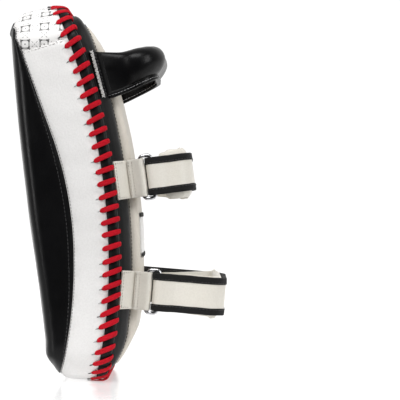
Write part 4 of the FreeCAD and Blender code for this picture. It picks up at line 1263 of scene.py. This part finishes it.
def build_hem():
    """The two leather edges sewn together along the underside of the grip."""
    outer, reach = handle_line(130)
    low = hem_low(outer[:, 1])
    _, side = ways(outer)
    half = [(-1.6, 8.0), (-2.3, 5.6), (-2.6, 3.4), (-2.45, 1.0), (-1.7, 0.0), (-0.5, -0.2)]
    shape = half + [(0.0, 0.5)] + [(-thick, high) for thick, high in reversed(half)]
    wave = np.array([noise.noise(Vector((r * 0.045, 3.0, 1.0))) for r in reach]) * 1.2
    rows = []
    for r in range(len(outer)):
        lift = np.array([thick for thick, _ in shape]) + wave[r] * 0.5
        high = low[r] + np.array([h for _, h in shape]) + wave[r] * 0.4
        rows.append(HANDLE.beside(outer[r], side[r], lift, high))
    made = grid(np.asarray(rows), closed=True, u=list(np.linspace(0, 30, len(shape) + 1)),
                v=list(reach), caps=True)
    piece = band_piece("handle_hem_leather", made)
    dress(piece, BLACK_LEATHER, stands_for=("handle_hem",))
    runs = []
    for face in (1, -1):
        lift = 2.62 * face + wave * 0.5
        spots = HANDLE.beside(outer, side, lift, low + 2.9 + wave * 0.4)
        runs.append(stitch_strip(spots, HANDLE.direction(side[:, 0] * face, side[:, 1] * face), "hem"))
    sew("handle_hem_stitching", runs, GREY_THREAD)


build_hem()

BEVEL_RUN = math.hypot(BEVEL_WIDTH, BACK_RISE - BEVEL_START)
BEVEL_WAY = (-BEVEL_WIDTH / BEVEL_RUN, (BACK_RISE - BEVEL_START) / BEVEL_RUN)


def on_bevel(along, above):
    """A local point on the near margin: along it from its foot, and above its surface."""
    return (
        PAD_HALF - BACK_INSET + BEVEL_WAY[0] * along + BEVEL_WAY[1] * above,
        BEVEL_START + BEVEL_WAY[1] * along - BEVEL_WAY[0] * above,
    )


def bevel_at(x, above):
    """Local y at x, for a point `above` the near margin."""
    start = on_bevel(0, above)
    return start[1] + (start[0] - x) * BEVEL_WAY[1] / -BEVEL_WAY[0]


def zigzag_threads(base, side):
    """Thread from lane to lane and back, twice over, along one foot's edge: start and end points."""
    count = 25
    width = 2.5
    crossings = []
    for phase in (0, 1):
        spots = []
        for index in range(count + 1):
            swing = width if (index + phase) % 2 else -width
            swing += 0.5 * noise.noise(Vector((index * 0.9, phase * 5.0, side)))
            z = FOOT_SHIFT - 24.2 + 48.4 * index / count + 0.5 * phase
            spots.append(((base[0] - BEVEL_WAY[0] * swing) * side, base[1] - BEVEL_WAY[1] * swing, z))
        spots = np.asarray(spots)
        crossings += list(zip(spots, spots[1:]))
    return crossings


def build_feet():
    """Leather feet between the legs and the margins, with a dense zigzag seam at their edge."""
    feet = Parts()
    zigzag = Parts()
    dark = []
    thread_radius = 0.62
    for side in (1, -1):
        path = [on_bevel(6.6, 1.2), on_bevel(12.0, 1.3), on_bevel(16.5, 1.45), (75.9, 22.0), (75.0, 25.6)]
        flap = curve_through([(x * side, y) for x, y in path], 30)
        flap_reach = walked(flap)
        under_leg = smooth(flap_reach, 10.0, 17.0)
        feet.add(ribbon(HANDLE, flap, flap_reach, 1.15 - 0.7 * under_leg,
                        FOOT_HALF + 0.6 - 2.5 * under_leg, FOOT_SHIFT, sides=28))
        facing = HANDLE.direction(BEVEL_WAY[1] * side, -BEVEL_WAY[0])
        for start, end in zigzag_threads(on_bevel(8.6, 2.9), side):
            share = np.linspace(0, 1, 7)[:, None]
            centre = start + (end - start) * share
            lift = 0.55 * np.sin(np.pi * share[:, 0])
            centre = HANDLE.point(centre[:, 0] + BEVEL_WAY[1] * lift * side,
                                  centre[:, 1] - BEVEL_WAY[0] * lift, centre[:, 2])
            across = unit(np.cross(unit(np.gradient(centre, axis=0)), facing))
            turn = ring_angles(7)[:, None]
            rows = [centre[r] + thread_radius * (np.cos(turn) * across[r] + np.sin(turn) * facing)
                    for r in range(7)]
            zigzag.add(grid(np.asarray(rows), closed=True, u=list(np.linspace(0, 5, 8)),
                            v=list(np.linspace(0, 5, 7)), caps=True))
        for lane in (12.6, 14.8):
            x, y = on_bevel(lane, 2.75)
            line = HANDLE.point(x * side, y, np.linspace(-22, 22, 20) + FOOT_SHIFT)
            dark.append(stitch_strip(line, facing, "foot"))
    piece = feet.piece("handle_feet_leather")
    weld(piece, 0.0)
    subdivide(piece, 2)
    dress(piece, BLACK_LEATHER, stands_for=("handle_feet",))
    piece = zigzag.piece("handle_zigzag_stitching")
    weld(piece, 0.0)
    subdivide(piece)
    dress(piece, WHITE_THREAD, stands_for=("handle_foot_stitching",))
    sew("handle_foot_threads", dark, BLACK_THREAD_AND_HOLE_SHADE)


build_feet()

# ---------------------------------------------------------------- arm straps

LEG_X = 70.0
RING_IN = 38.5
RING_OUT = 50.5
RING_HALF = 21.8
RING_TURN = 4.2
WIRE = 1.9
LOOP_BEND = 18.0
TONGUE_GAP = 0.3
# Half thicknesses of a strap, its tapes and the loop pile, the hook tape, and gaps between layers.
STRAP_THIN = 1.8
TAPE_THIN = 2.4
PILE_THIN = 1.1
HOOK_THIN = 0.75
HOOK_DEPTH = 1.4
LAYER_GAP = 0.3
SEWN_GAP = 0.6
STRAP_REACH = 18.5
TAB_REACH = 19.7
PILE_REACH = 17.7
# Each strap's local frame, how far out it reaches, and where its tongue ends.
STRAPS = {
    "upper": (UPPER, 89.5, 32.0),
    "lower": (LOWER, 116.5, 11.0),
}
CUFF_HALF = {"upper": 29.0, "lower": 24.5}
CUFF_FLARE = 6.5
CUFF_THICK = 9.0
# Half a tape's section over a strap's edge: height off the strap's middle, and distance across it.
TAPE_SIDE = [(1.7, 12.1), (2.35, 12.3), (2.5, 13.2), (2.5, 17.4), (2.3, 18.7), (1.2, 19.3)]
# The same for a tongue, as a share of the way from the tape's inner edge to its outer.
TONGUE_TAPE_SIDE = [(1.5, 0.0), (2.4, 0.06), (2.5, 0.25), (2.5, 0.8), (2.2, 0.93), (1.1, 0.99)]


def both_sides(half, middle):
    """A tape's whole section, from its front round the edge to its back: lifts and reaches."""
    return np.array(half + [middle] + [(-lift, reach) for lift, reach in reversed(half)]).T


def strap_root(side):
    """How far out the strap's far leg bends round into its tongue."""
    return STRAPS[side][1] - LOOP_BEND - 1.6


def round_bar(centre, radius, first, last, count=9):
    """Points on an arc round a bar, angles in degrees from local +x."""
    angles = np.radians(np.linspace(first, last, count))
    return [(centre[0] + radius * math.cos(a), centre[1] + radius * math.sin(a)) for a in angles]


def build_ring(side, frame_):
    """A closed rectangular ring of round wire."""
    turn = RING_TURN
    corners = [(RING_OUT - turn, RING_HALF - turn, 0), (RING_IN + turn, RING_HALF - turn, 90),
               (RING_IN + turn, -RING_HALF + turn, 180), (RING_OUT - turn, -RING_HALF + turn, 270)]
    path = []
    for y, z, start in corners:
        for angle in np.radians(np.linspace(start, start + 90, 9)):
            path.append((y + turn * math.cos(angle), z + turn * math.sin(angle)))
    path = np.asarray(path + [path[0]])
    path = resample(path, 120)[0][:-1]
    way = unit(np.roll(path, -1, axis=0) - np.roll(path, 1, axis=0))
    across = np.stack([way[:, 1], -way[:, 0]], axis=1)
    around = ring_angles(14)
    rows = []
    for spot, out in zip(path, across):
        y, z = (spot[k] + WIRE * np.cos(around) * out[k] for k in (0, 1))
        rows.append(frame_.point(LEG_X + WIRE * np.sin(around), y, z))
    rows.append(rows[0])
    points, faces, _ = grid(np.asarray(rows), closed=True)
    piece = new_piece(side + "_ring_wire", points, faces)
    weld(piece)
    dress(piece, STEEL, side + "_ring_body", (side + "_ring",))


def build_tab(side, frame_):
    """One strip sewn on the margin, folded round the ring's inner bar and back on itself."""
    under = on_bevel(2.2, 1.5)
    knee = (LEG_X - 1.3, bevel_at(LEG_X - 1.3, 1.5))
    bar = (LEG_X, RING_IN)
    path = [under, on_bevel(9.0, 1.5), on_bevel(16.0, 1.5), (knee[0] + 0.4, knee[1]), (LEG_X - 1.4, 29.0),
            (LEG_X - 2.2, 33.5)]
    path += round_bar(bar, 3.6, 190, -15, 9)
    path += [(LEG_X + 2.4, 33.5), (LEG_X + 1.4, 29.5), (LEG_X + 1.3, 25.6)]
    line = curve_through(path, 70)
    reach = walked(line)
    bow = 0.35 * np.sin(reach / reach[-1] * math.pi)
    piece = band_piece(side + "_tab_leather", ribbon(frame_, line, reach, 1.15, TAB_REACH - bow))
    dress(piece, CREAM_LEATHER, stands_for=(side + "_ring_tab",))
    across = np.linspace(-17.8, 17.8, 24)
    facing = frame_.direction(BEVEL_WAY[1], -BEVEL_WAY[0])
    runs = [stitch_strip(frame_.point(LEG_X + 2.62, y, across), [1.0, 0, 0], "tab_fold")
            for y in (27.0, 30.4)]
    runs.append(stitch_strip(frame_.point(*on_bevel(4.6, 2.75), across), facing, "tab"))
    start = on_bevel(0, 2.8)
    y = np.linspace(12.0, 22.0, 12)
    x = start[0] - (y - start[1]) * BEVEL_WIDTH / (BACK_RISE - BEVEL_START)
    for edge in (-17.6, 17.6):
        runs.append(stitch_strip(frame_.point(x, y, edge), facing, "tab"))
    sew(side + "_tab_stitching", runs, CREAM_THREAD)


def strap_line(side, start_y):
    """Up from the ring, across the arm, and down to the tongue's root."""
    reach_y = STRAPS[side][1]
    path = [(LEG_X, start_y, 0), (LEG_X, reach_y, LOOP_BEND), (-LEG_X, reach_y, LOOP_BEND),
            (-LEG_X, strap_root(side) + TONGUE_GAP, 0)]
    return trace(path, 1.8)[0]


def edge_tapes(name, frame_, line, reach, span, section):
    """Woven tape folded over both long edges; section(row, level) gives its lifts and heights."""
    gathered = Parts()
    _, side = ways(line)
    for level in (1, -1):
        rows = [frame_.beside(line[r], side[r], *section(r, level)) for r in range(len(line))]
        gathered.add(grid(np.asarray(rows), closed=True, u=span, v=list(reach), caps=True,
                          flip=level < 0))
    piece = gathered.piece(name)
    weld(piece, 0.0)
    return piece


def build_strap(side, frame_):
    """Leather folded round the ring's outer bar, out and across to the tongue's root."""
    line = strap_line(side, RING_OUT + 3.0)
    fold = [(LEG_X - 2.9, RING_OUT + 13.0), (LEG_X - 4.1, RING_OUT + 6.5)]
    fold += round_bar((LEG_X, RING_OUT), 5.3, 175, 365, 11)
    fold += [(LEG_X + 3.9, RING_OUT + 5.5), (LEG_X + 1.2, RING_OUT + 12.0)]
    body = [point for point in line if point[1] > RING_OUT + 16.0 or point[0] < LEG_X - 5]
    full = curve_through(fold + [tuple(p) for p in body[::6]] + [tuple(body[-1])], 190)
    length = walked(full)
    thick = 1.1 + 0.7 * smooth(length, 24.0, 34.0)
    piece = band_piece(side + "_strap_leather", ribbon(frame_, full, length, thick, STRAP_REACH))
    dress(piece, CREAM_LEATHER, stands_for=(side + "_strap",))

    past_fold = length > 14.0
    line = full[past_fold]
    reach = length[past_fold]
    lifts, heights = both_sides(TAPE_SIDE, (0.0, 19.4))
    spread = 0.72 + 0.28 * smooth(reach, 26.0, 36.0)

    def section(r, level):
        wobble = 0.22 * noise.noise(Vector((reach[r] * 0.09, level * 3.0, 1.0)))
        return lifts * spread[r], heights * level + wobble

    span = [0, 0.8, 1.8, 5.2, 6.6, 7.8, 9, 10.2, 11.4, 12.8, 16.2, 17.2, 18.0, 19.0]
    tapes = edge_tapes(side + "_strap_tapes", frame_, line, reach, span, section)
    dress(tapes, BLACK_WEBBING, stands_for=(side + "_strap_edging",))
    _, out = ways(line)
    normals = frame_.direction(out[:, 0], out[:, 1])
    runs = [stitch_strip(frame_.beside(line, out, 2.55 * spread, level), normals, "tape")
            for level in (13.5, -13.5)]
    sew(side + "_strap_stitching", runs, BLACK_THREAD_AND_HOLE_SHADE)


def tongue_width(distance_to_tip, half):
    """Half width of a strap end with a rounded tip."""
    inside = np.clip(distance_to_tip, 0.0, half)
    return np.sqrt(np.maximum(half ** 2 - (half - inside) ** 2, 0.04))


def build_tongue(side, frame_):
    """The strap's rounded free end, taped all round, with the hook tape on its inner face."""
    root = strap_root(side)
    tip = STRAPS[side][2]
    if side == "upper":
        path = [(-LEG_X, root + TONGUE_GAP, 0), (-LEG_X, tip, 0)]
    else:
        lift = 2 * PILE_THIN + SEWN_GAP + 0.5 + TAPE_THIN
        end = on_bevel(1.2, lift)
        path = [(-LEG_X, root + TONGUE_GAP, 0), (-LEG_X, bevel_at(LEG_X, lift), 8), (-end[0], end[1], 0)]
    line, reach = trace(path, 1.5)
    if side == "lower":
        keep = line[:, 1] >= tip + 0.2
        line, reach = line[keep], reach[keep]
    to_tip = reach[-1] - reach
    made = ribbon(frame_, line, reach, STRAP_THIN * np.clip(to_tip / 3.0, 0.55, 1.0),
                  tongue_width(to_tip, STRAP_REACH))
    leather_piece = band_piece(side + "_tongue_leather", made)
    outer = tongue_width(to_tip + 0.6, 19.4)
    inner = np.where(to_tip > 7.0, tongue_width(to_tip - 7.0, 12.2), 0.0)
    lifts, shares = both_sides(TONGUE_TAPE_SIDE, (0.0, 1.0))

    def section(r, level):
        return lifts, (inner[r] + (outer[r] - inner[r]) * shares) * level

    span = list(np.linspace(0, 19, len(lifts) + 1))
    tapes = edge_tapes(side + "_tongue_tapes", frame_, line, reach, span, section)
    hook_x = -LEG_X + STRAP_THIN + HOOK_THIN
    hook_line = trace([(hook_x, root - 4.0, 0), (hook_x, max(tip + 17.0, 40.0), 0)], 2.0)
    hook = band_piece(side + "_hook_tape", ribbon(frame_, *hook_line, HOOK_THIN, 11.0, sides=20))
    inside = to_tip > 9.0
    _, out = ways(line)
    line = line[inside]
    out = out[inside]
    normals = frame_.direction(out[:, 0], out[:, 1])
    runs = [stitch_strip(frame_.beside(line, out, 2.55, level * (inner[inside] + 1.4)), normals, "tape")
            for level in (1, -1)]
    threads = stitch_piece(side + "_tongue_stitching", runs)
    start = Vector(frame_.point(-LEG_X, root + 0.2, 0.0) * MM)
    end = Vector(frame_.point(-LEG_X, root - 16.0, 0.0) * MM)
    for piece, material, slot, nodes in (
        (leather_piece, CREAM_LEATHER, "cream_leather", (side + "_tongue",)),
        (tapes, BLACK_WEBBING, "black_webbing", (side + "_tongue_edging",)),
        (hook, HOOK_TAPE, "hook_tape", (side + "_hook_patch",)),
        (threads, BLACK_THREAD_AND_HOLE_SHADE, "white_thread", ()),
    ):
        dress(piece, material, None, nodes)
        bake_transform(piece)


def build_base(side, frame_):
    """Loop-pile strap sewn on the far margin, standing under the tongue, with bar tacks."""
    lift = PILE_THIN + SEWN_GAP
    base_x = -LEG_X + STRAP_THIN + HOOK_DEPTH + LAYER_GAP + PILE_THIN
    sewn = on_bevel(1.6, lift)
    path = [(-sewn[0], sewn[1], 0), (base_x, bevel_at(-base_x, lift), 5),
            (base_x, strap_root(side) - 2.4, 0)]
    line, reach = trace(path, 2.0)
    piece = band_piece(side + "_base_leather", ribbon(frame_, line, reach, PILE_THIN, PILE_REACH))
    dress(piece, LOOP_PILE, stands_for=(side + "_base_strap",))
    way, out = ways(line)
    out = out * (-1.0 if out[0, 1] < 0 else 1.0)
    across = np.linspace(-16.0, 16.0, 40)
    tacks = []
    for distance in (4.0, 16.0):
        at = int(np.argmin(np.abs(reach - distance)))
        for dense in (-0.7, 0.0, 0.7):
            x, y = line[at] + out[at] * 1.25 + way[at] * dense
            tacks.append(stitch_strip(frame_.point(x, y, across), frame_.direction(*out[at]), "tack"))
    sew(side + "_bar_tacks", tacks, WHITE_THREAD)


def swell(piece, voxel, pressure, frames, cap):
    """Remeshes a closed piece, inflates it as cloth, limits how far points move, and applies it."""
    scene = bpy.context.scene
    remesh = piece.modifiers.new("even", "REMESH")
    remesh.mode = "VOXEL"
    remesh.voxel_size = voxel
    apply_modifiers(piece)
    count = len(piece.data.vertices)
    before = np.zeros(count * 3)
    piece.data.vertices.foreach_get("co", before)
    cloth = piece.modifiers.new("cloth", "CLOTH")
    for key, value in (("quality", 6), ("mass", 0.25), ("tension_stiffness", 18),
                       ("compression_stiffness", 18), ("bending_stiffness", 0.4),
                       ("use_pressure", True), ("uniform_pressure_force", pressure)):
        setattr(cloth.settings, key, value)
    cloth.settings.effector_weights.gravity = 0.0
    cloth.point_cache.frame_start = 1
    cloth.point_cache.frame_end = frames
    for number in range(1, frames + 1):
        scene.frame_set(number)
    apply_modifiers(piece)
    scene.frame_set(1)
    after = np.zeros(count * 3)
    piece.data.vertices.foreach_get("co", after)
    move = (after - before).reshape(-1, 3)
    length = np.linalg.norm(move, axis=1, keepdims=True)
    limited = before.reshape(-1, 3) + move * np.minimum(1.0, cap / np.maximum(length, 1e-9))
    piece.data.vertices.foreach_set("co", limited.ravel())
    piece.data.update()


def apply_modifiers(piece):
    """Turns what the piece's modifiers make into its mesh."""
    graph = bpy.context.evaluated_depsgraph_get()
    made = bpy.data.meshes.new_from_object(piece.evaluated_get(graph))
    old = piece.data
    piece.modifiers.clear()
    piece.data = made
    bpy.data.meshes.remove(old)


def build_cuff(side, frame_):
    """Padded lining inside the strap, wider across the arm than at its ends."""
    reach_y = STRAPS[side][1]
    near_x = LEG_X - TAPE_THIN - LAYER_GAP - CUFF_THICK / 2
    far_x = (-LEG_X + STRAP_THIN + HOOK_DEPTH + LAYER_GAP + 2 * PILE_THIN + LAYER_GAP
             + CUFF_THICK / 2)
    top_y = reach_y - TAPE_THIN - LAYER_GAP - CUFF_THICK / 2
    path = [(near_x, 57.0, 0), (near_x, top_y, 13), (far_x, top_y, 13), (far_x, 44.0, 0)]
    line, reach = trace(path, 2.0)
    flare = np.clip((line[:, 1] - 40.0) / (reach_y - 50.0), 0, 1)
    half_wide = CUFF_HALF[side] - CUFF_FLARE * (1 - flare)
    end = np.minimum(reach, reach[-1] - reach)
    taper = np.clip((end + 1.2) / 6.0, 0.25, 1.0) ** 0.5
    half_thick = (CUFF_THICK / 2 - 0.8) * taper
    made = ribbon(frame_, line, reach, half_thick, half_wide - 0.8 - 2.0 * (1 - taper), sides=28,
                  power=0.55)
    piece = new_piece(side + "_cuff_leather", made[0], made[1])
    weld(piece, 0.0)
    swell(piece, 0.0042, 4.0, 18, 0.0022)
    mesh = piece.data
    flat = np.zeros(len(mesh.vertices) * 3)
    mesh.vertices.foreach_get("co", flat)
    local = flat.reshape(-1, 3) / MM - frame_.origin
    inside_strap = TAPE_THIN + LAYER_GAP
    x = np.clip(local[:, 0], -LEG_X + 6.1, LEG_X - inside_strap)
    y = np.minimum(local @ frame_.out, reach_y - inside_strap)
    mesh.vertices.foreach_set("co", (frame_.point(x, y, local @ frame_.up) * MM).ravel())
    mesh.polygons.foreach_set("use_smooth", [True] * len(mesh.polygons))
    subdivide(piece)
    dress(piece, CREAM_LEATHER, stands_for=(side + "_cuff", side + "_cuff_foam"))


for strap, (strap_frame, _, _) in STRAPS.items():
    for build in (build_ring, build_tab, build_strap, build_tongue, build_base, build_cuff):
        build(strap, strap_frame)

# ---------------------------------------------------------------- studio

CAMERA_SPOT = (1.812, 0.1269, 0.1839)
LENS = 154.3
FLOOR_REACH = 6.0
FLOOR_NEAR = 0.3
FLOOR_FADE = 0.14
LIGHT_TARGET = (0.0, 0.03, 0.2)


def softbox(name, spot, width, height, power):
    data = bpy.data.lights.new(name, "AREA")
    data.shape = "RECTANGLE"
    data.size = width
    data.size_y = height
    data.energy = power
    lamp = bpy.data.objects.new(name, data)
    lamp.location = spot
    lamp.rotation_euler = (Vector(LIGHT_TARGET) - Vector(spot)).to_track_quat("-Z", "Y").to_euler()
    bpy.context.scene.collection.objects.link(lamp)


def build_camera():
    scene = bpy.context.scene
    camera_data = bpy.data.cameras.new("camera")
    camera_data.lens = LENS
    camera_data.sensor_width = 36.0
    camera_data.clip_start = 0.05
    camera = bpy.data.objects.new("camera", camera_data)
    camera.location = CAMERA_SPOT
    camera.rotation_euler = (math.radians(90), 0, math.radians(90))
    scene.collection.objects.link(camera)
    scene.camera = camera


def build_floor():
    """A pale glossy floor, which fades out on the camera's side of the pad."""
    mesh = bpy.data.meshes.new("studio_floor")
    corners = [(-FLOOR_REACH, -FLOOR_REACH, 0), (FLOOR_NEAR, -FLOOR_REACH, 0),
               (FLOOR_NEAR, FLOOR_REACH, 0), (-FLOOR_REACH, FLOOR_REACH, 0)]
    mesh.from_pydata(corners, [], [(0, 1, 2, 3)])
    floor = bpy.data.objects.new("studio_floor", mesh)
    floor.location = (0, 0, -0.0004)
    bpy.context.scene.collection.objects.link(floor)
    make = Nodes("studio_floor")
    haze = make.noise(make.place(), 3.0, 2.0)
    across = make.node("ShaderNodeSeparateXYZ", {"Vector": make.place()}).outputs["X"]
    mesh.materials.append(make.done(
        Alpha=make.spread(across, FLOOR_NEAR - FLOOR_FADE, FLOOR_NEAR, 1.0, 0.0),
        Base_Color=make.mix(haze, (0.56, 0.56, 0.56), (0.60, 0.60, 0.60)), Roughness=0.15,
        Specular_IOR_Level=0.5, Emission_Color=(1.0, 1.0, 1.0), Emission_Strength=0.44))


def build_room():
    """White behind the pad for the camera; for the pad, a room bright at -X and dim at +X."""
    world = bpy.data.worlds.new("studio")
    bpy.context.scene.world = world
    world.use_nodes = True
    tree = world.node_tree
    backdrop = tree.nodes["Background"]
    backdrop.inputs["Color"].default_value = (1.0, 1.0, 1.0, 1.0)
    backdrop.inputs["Strength"].default_value = 1.05
    room = tree.nodes.new("ShaderNodeBackground")
    room.inputs["Color"].default_value = (1.0, 0.995, 0.985, 1.0)
    facing = tree.nodes.new("ShaderNodeTexCoord")
    parts = tree.nodes.new("ShaderNodeSeparateXYZ")
    glow = tree.nodes.new("ShaderNodeMapRange")
    for socket, value in (("From Min", -0.75), ("From Max", 0.15), ("To Min", 1.0), ("To Max", 0.07)):
        glow.inputs[socket].default_value = value
    tree.links.new(facing.outputs["Generated"], parts.inputs[0])
    tree.links.new(parts.outputs["X"], glow.inputs["Value"])
    tree.links.new(glow.outputs["Result"], room.inputs["Strength"])
    seen = tree.nodes.new("ShaderNodeLightPath")
    both = tree.nodes.new("ShaderNodeMixShader")
    tree.links.new(seen.outputs["Is Camera Ray"], both.inputs[0])
    tree.links.new(room.outputs[0], both.inputs[1])
    tree.links.new(backdrop.outputs[0], both.inputs[2])
    tree.links.new(both.outputs[0], tree.nodes["World Output"].inputs["Surface"])
    bpy.context.scene.view_settings.view_transform = "Standard"


build_camera()
build_floor()
build_room()
softbox("key", (1.0, -1.5, 0.7), 0.5, 1.5, 20)
softbox("side", (1.0, 1.6, 0.7), 0.5, 1.5, 15)
softbox("top", (1.1, 0.0, 1.7), 1.4, 0.8, 26)
